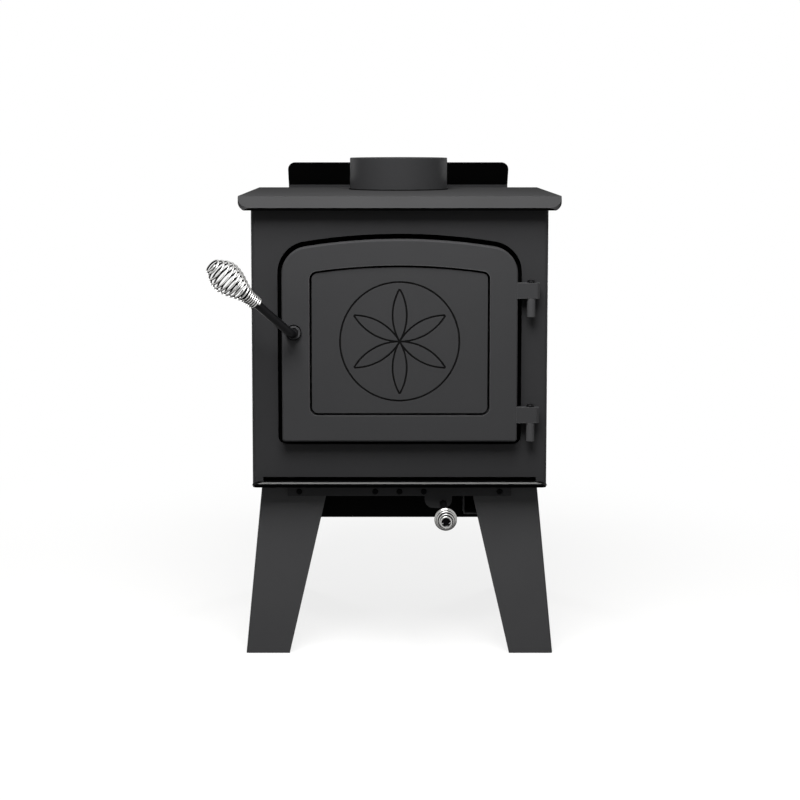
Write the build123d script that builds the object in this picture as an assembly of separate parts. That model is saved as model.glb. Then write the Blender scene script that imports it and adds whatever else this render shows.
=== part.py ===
from build123d import *
import math
import os

# Wood burning stove: a welded steel firebox on four sheet legs, with a cast door, a turning latch with a
# wound wire grip and a sliding air control.
# Millimetres. +X is to the right of someone facing the door, +Y to the rear, +Z up. The stove is drawn with
# X = 0 on its middle plane and Y = 0 on its front panel, then moved so that the origin is on the floor, under
# the middle of its whole outline.
FRAME_X = 18.4
FRAME_Y = -165.0

# Welded body
BODY_WIDTH = 440.0
BODY_DEPTH = 430.0
BODY_BOTTOM = 258.0
BODY_HEIGHT = 431.0
WALL = 4.8
FRONT_BEND = 7.0
FLOOR_THICK = 6.0

# Top plate, with its lip bent down over the door
TOP_OVERHANG = 18.0
TOP_BEHIND = 7.0
TOP_THICK = 5.0
TOP_BEND_Y = -4.0
LIP_REACH = 22.0
LIP_DROP = 16.7
LIP_CORNER = 20.0
LIP_BEND_OUTER = 8.0
LIP_BEND_INNER = 3.0

# Flue collar, for pipe of 6 inches
FLUE_FROM_REAR = 109.0
FLUE_INNER = 76.5
FLUE_WALL = 3.5
FLUE_HEIGHT = 52.0
FLUE_SEAT = 2.0

# Door: an arched casting that stands in its cut-out with a gap all round
DOOR_FROM_SIDE = 46.25
DOOR_FROM_BOTTOM = 73.0
DOOR_FROM_TOP = 58.0
DOOR_ARCH = 876.0
DOOR_TOP_ROUND = 40.0
DOOR_FOOT_ROUND = 4.0
DOOR_GAP = 7.0
DOOR_FACE_Y = -20.0
DOOR_THICK = 18.0
DOOR_EDGE_ROUND = 3.0

# Panel in the door, inside two stiles and two rails
STILE = 40.75
FOOT_RAIL = 39.0
TOP_RAIL = 38.0
OPENING_ARCH = 870.0
OPENING_ROUND = 12.0
PANEL_GROOVE = 3.3
PANEL_SUNK = 3.0
PANEL_THICK = 5.0
PANEL_LAP = 4.5
PANEL_FLANGE = 3.0
GASKET_THICK = 1.0
INSULATION_GAP = 0.5

# Engraved six-petal rosette on the panel
ROSETTE_MARGIN = 23.5
ROSETTE_BAND = 10.0
ROSETTE_DROP = 1.5
ROSETTE_PETALS = 6
ROSETTE_LINE = 2.6
ROSETTE_DEPTH = 0.9

# Clips that hold the panel
CLIP_INSET = 43.0
CLIP_WIDTH = 16.0
CLIP_THICK = 3.0
CLIP_HOLD = 4.0
CLIP_FOOT = 7.0
CLIP_STEP = 2.2
CLIP_SCREW = 2.5
CLIP_HEAD = 4.0
CLIP_HEAD_HIGH = 2.5
CLIP_SCREW_DEEP = 8.0

# Rope seal, clear of the panel's flange and the clips
ROPE_CLEAR = 0.25
ROPE_FOOT_CLEAR = 5.3
ROPE_TOP_CLEAR = 1.0
ROPE_CORNER = 16.0
ROPE_RADIUS = 5.0
ROPE_SUNK = 4.5
ROPE_GAP = 0.3
SEAL_Y = 24.0
SEAL_THICK = 5.0
SEAL_EDGE = 3.0

# Hinge
HINGE_BESIDE = 12.85
HINGE_BEHIND = 6.0
LOWER_TAB_UP = 28.0
LOWER_TAB_HIGH = 23.5
UPPER_TAB_DOWN = 87.0
UPPER_TAB_HIGH = 23.0
TAB_BEYOND = 12.4
TAB_ROOT = 8.0
TAB_END_FLAT = 0.2
TAB_WALL = 1.45
BARREL_WALL = 2.2
BARREL_LENGTH = 27.0
BARREL_GAP = 0.6
LUG_WIDTH = 6.0
PIN_RADIUS = 4.0
PIN_FIT = 0.05
PIN_HEAD_OVER = 2.0
PIN_HEAD_HIGH = 3.4

# Handle and latch
PIVOT_CLEAR = 0.65
PIVOT_UP = 163.0
HANDLE_STAND = 34.0
HANDLE_ANGLE = 43.9
HANDLE_LEAN = 22.0
HANDLE_ROD = 6.35
HANDLE_BEND = 14.0
HANDLE_NECK = 74.5
HANDLE_GRIP_LENGTH = 28.0
GRIP_SWELL = 1.0
SHAFT_FIT = 0.05
BUSHING_WALL = 5.15
BUSHING_HIGH = 6.0
HOOK_THICK = 6.0
HOOK_REACH = 34.0
HOOK_WIDTH = 11.0
HOOK_WALL = 3.65
HOOK_ANGLE = 99.0
SPACER_WALL = 1.25
TURN_GAP = 0.3
STUD_RADIUS = 4.5
STUD_LENGTH = 7.0
NUT_FLATS = 15.0
NUT_HIGH = 6.0
KEEPER_WIDTH = 22.0
KEEPER_HALF = 18.0
KEEPER_INSET = 3.5
KEEPER_THICK = 1.6
KEEPER_GAP = 0.6

# Wound wire grips: wire, turns, close turns at the neck and the outer radii along the axis
HANDLE_WIRE = 3.0
HANDLE_TURNS = 17
HANDLE_CLOSE_TURNS = 5
HANDLE_COIL_LENGTH = 90.5
HANDLE_BULB = 23.5
HANDLE_BULB_AT = 63.0
HANDLE_SWELL_AT = 10.5
HANDLE_TIP = 12.2
CONTROL_WIRE = 2.8
CONTROL_TURNS = 14
CONTROL_CLOSE_TURNS = 4
CONTROL_COIL_LENGTH = 60.0
CONTROL_BULB = 16.5
CONTROL_BULB_AT = 38.0
CONTROL_SWELL_AT = 8.0
CONTROL_TIP = 8.8
CLOSE_GAP = 0.5
COIL_GRIP = 0.1
PITCH_EASE_TURNS = 2
END_TURNS = 1
POINTS_PER_ARC = 12

# Ash slot and lip
SLOT_INSET = 16.0
SLOT_HIGH = 10.0
ASH_OVERLAP = 15.5
ASH_FRONT_Y = -20.0
ASH_SHEET = 3.0
ASH_TURN_UP = 4.2
ASH_RISE = 45.0
ASH_BEND = 4.0
ASH_END_LONG = 14.0
ASH_END_DROP = 5.0
ASH_END_ROUND = 30.0
ASH_CLEAR = 0.5

# Legs
LEG_Y = 15.0
LEG_SHEET = 4.0
LEG_INSET = 13.0
LEG_TOP_WIDE = 100.0
LEG_SPLAY = 12.5
LEG_FOOT_WIDE = 66.0
LEG_TOP_DEEP = 70.0
LEG_FOOT_DEEP = 45.0
LEG_BEND = 3.5
LEG_FLANGE = 60.0
LEG_BOLT_AT = (28.0, 73.0)
LEG_BOLT_BACK = 43.0
BOLT_RADIUS = 4.0
BOLT_FLATS = 13.0
BOLT_HEAD = 5.3
BOLT_SHORT = 0.5

# Valance under the front, with the tab that guides the air control
VALANCE_INSET = 52.0
VALANCE_HIGH = 15.0
VALANCE_SHEET = 3.0
VALANCE_TAB_LEFT = 28.0
VALANCE_TAB_RIGHT = 13.0
VALANCE_TAB_BELOW = 7.0
VALANCE_TAB_ROUND = 13.0
VALANCE_SCREW_STEP = 36.5
VALANCE_SCREW_END = 17.4
VALANCE_SCREW_DOWN = 8.5
VALANCE_SCREW = 2.5
VALANCE_HEAD = 4.5
VALANCE_HEAD_HIGH = 2.2
BRACKET_BEYOND = 13.5
BRACKET_SHEET = 3.0
BRACKET_DEEP = 25.0
BRACKET_DROP = 14.0

# Air control
CONTROL_FROM_SIDE = 154.0
CONTROL_DOWN = 26.5
CONTROL_ROD = 4.76
CONTROL_TIP_Y = -121.0
CONTROL_ROD_SHORT = 3.0
CONTROL_CLEAR = 0.5
CONTROL_TRAVEL = 55.0
SLIDE_BESIDE = 16.0
SLIDE_LAP = 2.0
SLIDE_BEHIND = 4.0
SLIDE_OVER = 15.0
SLIDE_THICK = 3.0
SLIDE_GAP = 0.5
ARM_WIDTH = 14.0
ARM_THICK = 4.0
ARM_BELOW = 8.0
ROD_BEYOND = 8.0
CLIP_RING_WALL = 3.24
CLIP_RING_THICK = 3.0
RAIL_SHEET = 3.0
RAIL_LIP = 6.0
RAIL_BEYOND = 5.0

# Air duct under the floor
DUCT_BESIDE = 30.5
DUCT_WIDE = 56.0
DUCT_FRONT_Y = 32.0
DUCT_LONG = 194.0
DUCT_DOWN = 14.0
DUCT_HIGH = 33.0
DUCT_SHEET = 2.0
DUCT_BEND = 4.0
DUCT_NECK_INSET = 4.0
PORT_INSET = 3.0

# Tray that shields the floor under the stove
TRAY_INSET = 30.0
TRAY_FRONT_Y = 45.0
TRAY_FROM_REAR = 45.0
TRAY_UNDER = 7.4
TRAY_SHEET = 1.5
TRAY_FRONT_DOWN = 8.0
TRAY_REAR_HIGH = 20.0
TRAY_ROD_CLEAR = 3.24
TRAY_DUCT_CLEAR = 2.0
TRAY_POST_INSET = 18.0
TRAY_POST_IN = 55.0
POST_RADIUS = 8.0
POST_BORE = 3.0
POST_SCREW_DEEP = 20.0
SHIELD_HEAD = 6.0
SHIELD_HEAD_HIGH = 2.6

# Shield behind the body
SHIELD_INSET = 31.5
SHIELD_STAND = 25.0
SHIELD_SHEET = 1.5
SHIELD_BELOW = 33.0
SHIELD_ABOVE = 4.0
SHIELD_LEAN = 33.0
SHIELD_RISE = 38.0
SHIELD_ROUND = 13.0
SHIELD_POST_IN = 42.0
SHIELD_POST_UP = 52.0
SHIELD_POST_DOWN = 79.0

# Fire lining
BRICK_THICK = 32.0
BRICK_UNDER = 46.0
BRICK_GAP = 1.0
FLOOR_COLUMNS = 4
FLOOR_ROWS = 2
SIDE_BRICKS = 3
REAR_BRICKS = 4
GRATE_HIGH = 26.0
GRATE_MARGIN = 8.0
GRATE_BAR = 6.0
GRATE_SLOTS = 5
BAFFLE_DOWN = 95.0
BAFFLE_THICK = 25.0
BAFFLE_FRONT_Y = 115.0
RAIL_DEEP = 25.0
RAIL_DROP = 24.0
RAIL_THICK = 4.0

# Sizes worked out from the ones above: the body and its top
HALF_WIDTH = BODY_WIDTH / 2
INNER_HALF = HALF_WIDTH - WALL
INNER_REAR = BODY_DEPTH - WALL
BODY_TOP = BODY_BOTTOM + BODY_HEIGHT
FLOOR_TOP = BODY_BOTTOM + FLOOR_THICK
TOP_WIDTH = BODY_WIDTH + 2 * TOP_OVERHANG
TOP_REAR_Y = BODY_DEPTH + TOP_BEHIND
TOP_FACE = BODY_TOP + TOP_THICK
FLUE_OUTER = FLUE_INNER + FLUE_WALL
FLUE_Y = BODY_DEPTH - FLUE_FROM_REAR
SLOT_HALF = HALF_WIDTH - SLOT_INSET
SLOT_TOP = FLOOR_TOP + SLOT_HIGH
ASH_HALF = SLOT_HALF + ASH_OVERLAP
ASH_LOW = FLOOR_TOP + ASH_CLEAR
FIRE_FRONT = SEAL_Y + SEAL_THICK

# Sizes of the door, its panel and its rope, worked out
DOOR_HALF = HALF_WIDTH - DOOR_FROM_SIDE
DOOR_BOTTOM = BODY_BOTTOM + DOOR_FROM_BOTTOM
DOOR_CROWN = BODY_TOP - DOOR_FROM_TOP
DOOR_BACK_Y = DOOR_FACE_Y + DOOR_THICK
OPENING_HALF = DOOR_HALF - STILE
OPENING_BOTTOM = DOOR_BOTTOM + FOOT_RAIL
OPENING_CROWN = DOOR_CROWN - TOP_RAIL
PANEL_FACE_Y = DOOR_FACE_Y + PANEL_SUNK
PANEL_BACK_Y = DOOR_BACK_Y + GASKET_THICK
FLANGE_BACK_Y = PANEL_BACK_Y + PANEL_FLANGE
ROSETTE_RIM = (OPENING_CROWN - OPENING_BOTTOM) / 2 - ROSETTE_MARGIN
ROSETTE_RADIUS = ROSETTE_RIM - ROSETTE_BAND
ROSETTE_Z = (OPENING_CROWN + OPENING_BOTTOM) / 2 - ROSETTE_DROP
CLIP_X = OPENING_HALF - CLIP_INSET
CLIP_LONG = PANEL_LAP + CLIP_STEP + CLIP_FOOT
CLIP_EDGE = OPENING_CROWN - OPENING_ARCH + math.sqrt(OPENING_ARCH**2 - CLIP_X**2)
ROPE_HALF = OPENING_HALF + PANEL_LAP + ROPE_CLEAR + ROPE_RADIUS
ROPE_BOTTOM = OPENING_BOTTOM - CLIP_LONG - ROPE_FOOT_CLEAR - ROPE_RADIUS
ROPE_TOP = CLIP_EDGE + CLIP_LONG + ROPE_TOP_CLEAR + ROPE_RADIUS
ROPE_Y = DOOR_BACK_Y - ROPE_SUNK + ROPE_RADIUS

# Sizes of the hinge and the latch, worked out
HINGE_X = DOOR_HALF + DOOR_GAP + HINGE_BESIDE
HINGE_Y = DOOR_FACE_Y + HINGE_BEHIND
HINGE_LOW = (DOOR_BOTTOM + LOWER_TAB_UP, DOOR_BOTTOM + LOWER_TAB_UP + LOWER_TAB_HIGH)
HINGE_HIGH = (DOOR_CROWN - UPPER_TAB_DOWN, DOOR_CROWN - UPPER_TAB_DOWN + UPPER_TAB_HIGH)
TAB_END_X = HINGE_X + TAB_BEYOND
TAB_DEEP = 2 * (PIN_RADIUS + PIN_FIT + TAB_WALL)
TAB_END_ROUND = (TAB_DEEP - TAB_END_FLAT) / 2
BARREL_RADIUS = PIN_RADIUS + BARREL_WALL
PIN_HEAD = PIN_RADIUS + PIN_HEAD_OVER
SPACER_RADIUS = HANDLE_ROD + SPACER_WALL
BUSHING_RADIUS = HANDLE_ROD + BUSHING_WALL
HOOK_HUB = HANDLE_ROD + HOOK_WALL
KEEPER_BACK_Y = WALL + KEEPER_THICK
HOOK_Y = KEEPER_BACK_Y + KEEPER_GAP
PIVOT_X = -(ROPE_HALF + ROPE_RADIUS + SPACER_RADIUS + PIVOT_CLEAR)
PIVOT_Z = DOOR_BOTTOM + PIVOT_UP
HANDLE_Y = DOOR_FACE_Y - HANDLE_STAND
ARM_TURN = math.radians(HANDLE_ANGLE)
ARM_LEAN = math.radians(HANDLE_LEAN)
ARM_FLAT = Vector(-math.cos(ARM_TURN), 0, math.sin(ARM_TURN))
ARM = ARM_FLAT * math.cos(ARM_LEAN) - Vector(0, math.sin(ARM_LEAN), 0)
ARM_SIDE = ARM.cross(Vector(0, 0, -1)).normalized()
ELBOW = Vector(PIVOT_X, HANDLE_Y, PIVOT_Z)
HANDLE_GRIP_RADIUS = HANDLE_ROD + GRIP_SWELL
HANDLE_NECK_OUTER = HANDLE_GRIP_RADIUS + COIL_GRIP + HANDLE_WIRE
HANDLE_RING_AT = HANDLE_COIL_LENGTH - END_TURNS * (HANDLE_WIRE + CLOSE_GAP)

# Sizes of the legs and what hangs under the floor, worked out
LEG_TOP_X = (HALF_WIDTH - LEG_INSET - LEG_TOP_WIDE, HALF_WIDTH - LEG_INSET)
LEG_FOOT_X = (HALF_WIDTH + LEG_SPLAY - LEG_FOOT_WIDE, HALF_WIDTH + LEG_SPLAY)
LEG_BOLT_X = tuple(LEG_TOP_X[0] + place for place in LEG_BOLT_AT)
LEG_BOLT_Y = LEG_Y + LEG_BOLT_BACK
CONTROL_X = HALF_WIDTH - CONTROL_FROM_SIDE
CONTROL_Z = BODY_BOTTOM - CONTROL_DOWN
CONTROL_NECK_OUTER = CONTROL_ROD + COIL_GRIP + CONTROL_WIRE
CONTROL_RING_AT = CONTROL_COIL_LENGTH - END_TURNS * (CONTROL_WIRE + CLOSE_GAP)
CLIP_RING = CONTROL_ROD + CLIP_RING_WALL
VALANCE_HALF = HALF_WIDTH - VALANCE_INSET
VALANCE_LOW = BODY_BOTTOM - VALANCE_HIGH
VALANCE_TAB_X = (CONTROL_X - VALANCE_TAB_LEFT, CONTROL_X + VALANCE_TAB_RIGHT)
VALANCE_TAB_LOW = CONTROL_Z - VALANCE_TAB_BELOW
VALANCE_END_X = VALANCE_HALF - VALANCE_SCREW_END
VALANCE_SCREW_X = (-VALANCE_END_X, -VALANCE_SCREW_STEP, 0.0, VALANCE_SCREW_STEP, VALANCE_END_X)
VALANCE_SCREW_Z = BODY_BOTTOM - VALANCE_SCREW_DOWN
BRACKET_HALF = VALANCE_SCREW_STEP + BRACKET_BEYOND
DUCT_X = (CONTROL_X + DUCT_BESIDE, CONTROL_X + DUCT_BESIDE + DUCT_WIDE)
DUCT_Y = (DUCT_FRONT_Y, DUCT_FRONT_Y + DUCT_LONG)
DUCT_Z = (BODY_BOTTOM - DUCT_DOWN - DUCT_HIGH, BODY_BOTTOM - DUCT_DOWN)
SLIDE_X = (CONTROL_X - SLIDE_BESIDE, DUCT_X[1] + SLIDE_LAP)
SLIDE_Y = (DUCT_Y[1] + SLIDE_BEHIND - SLIDE_OVER - CONTROL_TRAVEL, DUCT_Y[1] + SLIDE_BEHIND)
SLIDE_TOP = BODY_BOTTOM - SLIDE_GAP
SLIDE_LOW = SLIDE_TOP - SLIDE_THICK
RAIL_Y = (SLIDE_Y[0] - CONTROL_TRAVEL - RAIL_BEYOND, SLIDE_Y[1] + RAIL_BEYOND)
TRAY_HALF = HALF_WIDTH - TRAY_INSET
TRAY_Y = (TRAY_FRONT_Y, BODY_DEPTH - TRAY_FROM_REAR)
TRAY_LOW = DUCT_Z[0] - TRAY_UNDER
TRAY_FRONT_TOP = BODY_BOTTOM - TRAY_FRONT_DOWN
TRAY_ROD_HOLE = CONTROL_ROD + TRAY_ROD_CLEAR
TRAY_POST_X = TRAY_HALF - TRAY_POST_INSET
TRAY_POST_Y = (TRAY_Y[0] + TRAY_POST_IN, TRAY_Y[1] - TRAY_POST_IN)

# Sizes of the rear shield and the fire lining, worked out
SHIELD_HALF = HALF_WIDTH - SHIELD_INSET
SHIELD_Y = BODY_DEPTH + SHIELD_STAND
SHIELD_LOW = BODY_BOTTOM - SHIELD_BELOW
SHIELD_BEND_Z = TOP_FACE + SHIELD_ABOVE
SHIELD_TIP_Y = SHIELD_Y - SHIELD_LEAN
SHIELD_TIP_Z = SHIELD_BEND_Z + SHIELD_RISE
SHIELD_POST_X = SHIELD_HALF - SHIELD_POST_IN
SHIELD_POST_Z = (BODY_BOTTOM + SHIELD_POST_UP, BODY_TOP - SHIELD_POST_DOWN)
BAFFLE_LOW = BODY_TOP - BAFFLE_DOWN
BRICK_FRONT = FIRE_FRONT + BRICK_GAP
BRICK_REAR = INNER_REAR - BRICK_GAP
BRICK_SIDE = INNER_HALF - BRICK_GAP
BRICK_BASE = FLOOR_TOP + BRICK_THICK
BRICK_HIGH = BAFFLE_LOW - RAIL_DROP - BRICK_UNDER - BRICK_BASE


# Plain solids

def block(x_range, y_range, z_range):
    """Returns a box that fills three ranges."""
    middle = [(low + high) / 2 for low, high in (x_range, y_range, z_range)]
    size = [high - low for low, high in (x_range, y_range, z_range)]
    return Pos(*middle) * Box(*size)


def bar_y(x, z, radius, y_range):
    """Returns a round bar along Y."""
    return Pos(x, sum(y_range) / 2, z) * Rot(90, 0, 0) * Cylinder(radius, y_range[1] - y_range[0])


def bar_z(x, y, radius, z_range):
    """Returns a round bar along Z."""
    return Pos(x, y, sum(z_range) / 2) * Cylinder(radius, z_range[1] - z_range[0])


def slab(face, y_range):
    """Returns a face drawn in X and Z, made solid from the first Y to the second."""
    return extrude(Plane.XZ.offset(-y_range[1]) * face, amount=y_range[1] - y_range[0])


def arched_face(half, bottom, crown, arch, top_round, foot_round):
    """Returns an upright face with an arched top and rounded corners."""
    shoulder = crown - arch + math.sqrt(arch**2 - half**2)
    top = ThreePointArc((-half, shoulder), (0, crown), (half, shoulder))
    rest = Polyline((half, shoulder), (half, bottom), (-half, bottom), (-half, shoulder))
    face = make_face([*top.edges(), *rest.edges()])
    face = fillet(face.vertices().group_by(Axis.Y)[-1], top_round)
    return fillet(face.vertices().group_by(Axis.Y)[0], foot_round)


def door_face(grow):
    """Returns the door's outline, grown all round."""
    return arched_face(
        DOOR_HALF + grow, DOOR_BOTTOM - grow, DOOR_CROWN + grow, DOOR_ARCH + grow,
        DOOR_TOP_ROUND + grow, DOOR_FOOT_ROUND + grow)


def opening_face(grow):
    """Returns the outline of the door's opening, grown all round."""
    return arched_face(
        OPENING_HALF + grow, OPENING_BOTTOM - grow, OPENING_CROWN + grow, OPENING_ARCH + grow,
        OPENING_ROUND + grow, OPENING_ROUND + grow)


def rope_face(grow):
    """Returns the outline of the rope's middle line, grown all round."""
    height = ROPE_TOP - ROPE_BOTTOM
    middle = Pos(0, (ROPE_TOP + ROPE_BOTTOM) / 2)
    return middle * RectangleRounded(2 * (ROPE_HALF + grow), height + 2 * grow, ROPE_CORNER + grow)


def group(solids):
    """Returns separate solids as one node."""
    return Compound(list(solids))


def screw_y(x, z, seat_y, radius, shank, head, head_high, forward):
    """Returns a button-head screw along Y, with its head in front of its seat or behind it."""
    way = -1 if forward else 1
    body = bar_y(x, z, radius, sorted((seat_y, seat_y - way * shank)))
    cap = bar_y(x, z, head, sorted((seat_y, seat_y + way * head_high)))
    outer = cap.edges().filter_by(GeomType.CIRCLE).sort_by(Axis.Y)[0 if forward else -1]
    return fillet(outer, head_high * 0.7) + body


# Welded body

def body_wrap():
    """Returns the front panel and both sides, bent from one sheet."""
    def plan(half, front, rear, bend):
        """Returns the sheet's outline seen from above."""
        face = Pos(0, (front + rear) / 2) * Rectangle(2 * half, rear - front)
        return fillet(face.vertices().group_by(Axis.Y)[0], bend)
    outer = plan(HALF_WIDTH, 0, BODY_DEPTH, FRONT_BEND)
    inner = plan(INNER_HALF, WALL, BODY_DEPTH + WALL, FRONT_BEND - WALL)
    wrap = Pos(0, 0, BODY_BOTTOM) * extrude(outer - inner, amount=BODY_TOP - BODY_BOTTOM)
    wrap -= slab(door_face(DOOR_GAP), (-WALL, 2 * WALL))
    return wrap - block((-SLOT_HALF, SLOT_HALF), (-WALL, 2 * WALL), (FLOOR_TOP, SLOT_TOP))


def back_plate():
    """Returns the rear wall, drilled for the shield's screws."""
    plate = block((-INNER_HALF, INNER_HALF), (INNER_REAR, BODY_DEPTH), (BODY_BOTTOM, BODY_TOP))
    for x, z in shield_places():
        plate -= bar_y(x, z, POST_BORE, (INNER_REAR - WALL, BODY_DEPTH + WALL))
    return plate


def bottom_plate():
    """Returns the floor plate, with the air port and the holes of the leg bolts."""
    plate = block((-INNER_HALF, INNER_HALF), (WALL, INNER_REAR), (BODY_BOTTOM, FLOOR_TOP))
    plate = fillet(plate.edges().filter_by(Axis.Z).group_by(Axis.Y)[0], FRONT_BEND - WALL)
    plate -= block(port_x(), port_y(), (BODY_BOTTOM - WALL, FLOOR_TOP + WALL))
    for x, y in bolt_places():
        plate -= bar_z(x, y, BOLT_RADIUS, (BODY_BOTTOM - WALL, FLOOR_TOP + WALL))
    return plate


def top_plate():
    """Returns the cooking top, with its bent lip, rounded front corners and flue hole."""
    slope = math.atan2(LIP_DROP, LIP_REACH)
    back = TOP_THICK * math.tan(slope / 2)
    down_y = TOP_THICK * math.sin(slope)
    down_z = TOP_THICK * math.cos(slope)
    lip_y = TOP_BEND_Y - LIP_REACH
    lip_z = TOP_FACE - LIP_DROP
    profile = make_face(Polyline(
        (TOP_REAR_Y, TOP_FACE), (TOP_BEND_Y, TOP_FACE), (lip_y, lip_z), (lip_y + down_y, lip_z - down_z),
        (TOP_BEND_Y + back, BODY_TOP), (TOP_REAR_Y, BODY_TOP), close=True))
    bends = (((TOP_BEND_Y, TOP_FACE, 0), LIP_BEND_OUTER), ((TOP_BEND_Y + back, BODY_TOP, 0), LIP_BEND_INNER))
    for place, radius in bends:
        profile = fillet(profile.vertices().sort_by_distance(place)[0], radius)
    half = TOP_WIDTH / 2
    plate = extrude(Plane.YZ.offset(-half) * profile, amount=TOP_WIDTH)
    plan = Pos(0, (lip_y + TOP_REAR_Y) / 2) * Rectangle(TOP_WIDTH, TOP_REAR_Y - lip_y)
    plan = fillet(plan.vertices().group_by(Axis.Y)[0], LIP_CORNER)
    plate &= Pos(0, 0, lip_z - 2 * TOP_THICK) * extrude(plan, amount=LIP_DROP + 3 * TOP_THICK)
    return plate - bar_z(0, FLUE_Y, FLUE_OUTER - FLUE_SEAT, (BODY_TOP - TOP_THICK, TOP_FACE + TOP_THICK))


def flue_collar():
    """Returns the ring that the stove pipe goes into."""
    reach = (TOP_FACE, TOP_FACE + FLUE_HEIGHT)
    return bar_z(0, FLUE_Y, FLUE_OUTER, reach) - bar_z(0, FLUE_Y, FLUE_INNER, reach)


def seal_frame():
    """Returns the inner front plate, with the raised edge that meets the door's rope."""
    plate = block((-INNER_HALF, INNER_HALF), (SEAL_Y, FIRE_FRONT), (FLOOR_TOP, BODY_TOP))
    edge_y = ROPE_Y + ROPE_RADIUS + ROPE_GAP
    edge = slab(rope_face(SEAL_EDGE / 2), (edge_y, SEAL_Y))
    return plate + edge - slab(rope_face(-SEAL_EDGE / 2), (edge_y - WALL, FIRE_FRONT + WALL))


def ash_lip():
    """Returns the sheet under the door, which runs in through its slot and is turned up along its front."""
    rear = SEAL_Y
    rise = math.radians(ASH_RISE)
    bend_y = ASH_FRONT_Y + ASH_TURN_UP * math.cos(rise)
    tip_z = ASH_LOW + ASH_TURN_UP * math.sin(rise)
    top = tip_z + ASH_SHEET * math.cos(rise)
    profile = make_face(Polyline(
        (rear, ASH_LOW), (bend_y, ASH_LOW), (ASH_FRONT_Y, tip_z),
        (ASH_FRONT_Y + ASH_SHEET * math.sin(rise), top),
        (bend_y + ASH_SHEET * math.tan(rise / 2), ASH_LOW + ASH_SHEET), (rear, ASH_LOW + ASH_SHEET),
        close=True))
    profile = fillet(profile.vertices().sort_by_distance((bend_y, ASH_LOW, 0))[0], ASH_BEND)
    sheet = extrude(Plane.YZ.offset(-ASH_HALF) * profile, amount=2 * ASH_HALF)
    flat = ASH_HALF - ASH_END_LONG
    ends = make_face(Polyline(
        (-ASH_HALF, ASH_LOW - WALL), (-ASH_HALF, top - ASH_END_DROP), (-flat, top), (flat, top),
        (ASH_HALF, top - ASH_END_DROP), (ASH_HALF, ASH_LOW - WALL), close=True))
    ends = fillet(ends.vertices().group_by(Axis.Y)[-1], ASH_END_ROUND)
    sheet &= slab(ends, (ASH_FRONT_Y - WALL, rear + WALL))
    inside = SLOT_HALF - ASH_CLEAR
    for low, high in ((-ASH_HALF - WALL, -inside), (inside, ASH_HALF + WALL)):
        sheet -= block((low, high), (-ASH_CLEAR, rear + WALL), (ASH_LOW - WALL, top + WALL))
    return sheet


# Shields

def shield_places():
    """Returns the X and Z of the rear shield's four posts."""
    return [(x, z) for x in (-SHIELD_POST_X, SHIELD_POST_X) for z in SHIELD_POST_Z]


def rear_heat_shield():
    """Returns the sheet behind the body, with its deflector leaning forward."""
    lean = math.atan2(SHIELD_Y - SHIELD_TIP_Y, SHIELD_TIP_Z - SHIELD_BEND_Z)
    back = SHIELD_Y + SHIELD_SHEET
    bend_back = SHIELD_BEND_Z + SHIELD_SHEET * math.tan(lean / 2)
    tip_back = (SHIELD_TIP_Y + SHIELD_SHEET * math.cos(lean), SHIELD_TIP_Z + SHIELD_SHEET * math.sin(lean))
    profile = make_face(Polyline(
        (SHIELD_Y, SHIELD_LOW), (back, SHIELD_LOW), (back, bend_back), tip_back,
        (SHIELD_TIP_Y, SHIELD_TIP_Z), (SHIELD_Y, SHIELD_BEND_Z), close=True))
    sheet = extrude(Plane.YZ.offset(-SHIELD_HALF) * profile, amount=2 * SHIELD_HALF)
    height = tip_back[1] - SHIELD_LOW
    outline = Pos(0, SHIELD_LOW + height / 2) * RectangleRounded(2 * SHIELD_HALF, height, SHIELD_ROUND)
    sheet &= slab(outline, (SHIELD_TIP_Y - WALL, back + WALL))
    for x, z in shield_places():
        sheet -= bar_y(x, z, POST_BORE, (SHIELD_Y - WALL, back + WALL))
    return sheet


def shield_spacers():
    """Returns the four tubes between the body and its rear shield."""
    reach = (BODY_DEPTH, SHIELD_Y)
    return group(
        bar_y(x, z, POST_RADIUS, reach) - bar_y(x, z, POST_BORE, reach) for x, z in shield_places())


def shield_screws():
    """Returns the rear shield's four screws."""
    seat = SHIELD_Y + SHIELD_SHEET
    return group(
        screw_y(x, z, seat, POST_BORE, seat - INNER_REAR, SHIELD_HEAD, SHIELD_HEAD_HIGH, False)
        for x, z in shield_places())


def tray_places():
    """Returns the X and Y of the tray's four posts."""
    return [(x, y) for x in (-TRAY_POST_X, TRAY_POST_X) for y in TRAY_POST_Y]


def bottom_heat_shield():
    """Returns the tray under the stove, cut for the air duct and the control rod."""
    front, rear = TRAY_Y
    wide = (-TRAY_HALF, TRAY_HALF)
    base_top = TRAY_LOW + TRAY_SHEET
    tray = block(wide, TRAY_Y, (TRAY_LOW, base_top))
    tray += block(wide, (front, front + TRAY_SHEET), (TRAY_LOW, TRAY_FRONT_TOP))
    tray += block(wide, (rear - TRAY_SHEET, rear), (TRAY_LOW, TRAY_LOW + TRAY_REAR_HIGH))
    notch_x = (DUCT_X[0] - TRAY_DUCT_CLEAR, DUCT_X[1] + TRAY_DUCT_CLEAR)
    through = (front - WALL, front + WALL)
    tray -= block(notch_x, through, (DUCT_Z[0] - TRAY_DUCT_CLEAR, TRAY_FRONT_TOP + WALL))
    tray -= bar_y(CONTROL_X, CONTROL_Z, TRAY_ROD_HOLE, through)
    for x, y in tray_places():
        tray -= bar_z(x, y, POST_BORE, (TRAY_LOW - WALL, base_top + WALL))
    return tray


def tray_spacers():
    """Returns the four tubes that hang the tray from the floor plate."""
    reach = (TRAY_LOW + TRAY_SHEET, BODY_BOTTOM)
    return group(bar_z(x, y, POST_RADIUS, reach) - bar_z(x, y, POST_BORE, reach) for x, y in tray_places())


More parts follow.
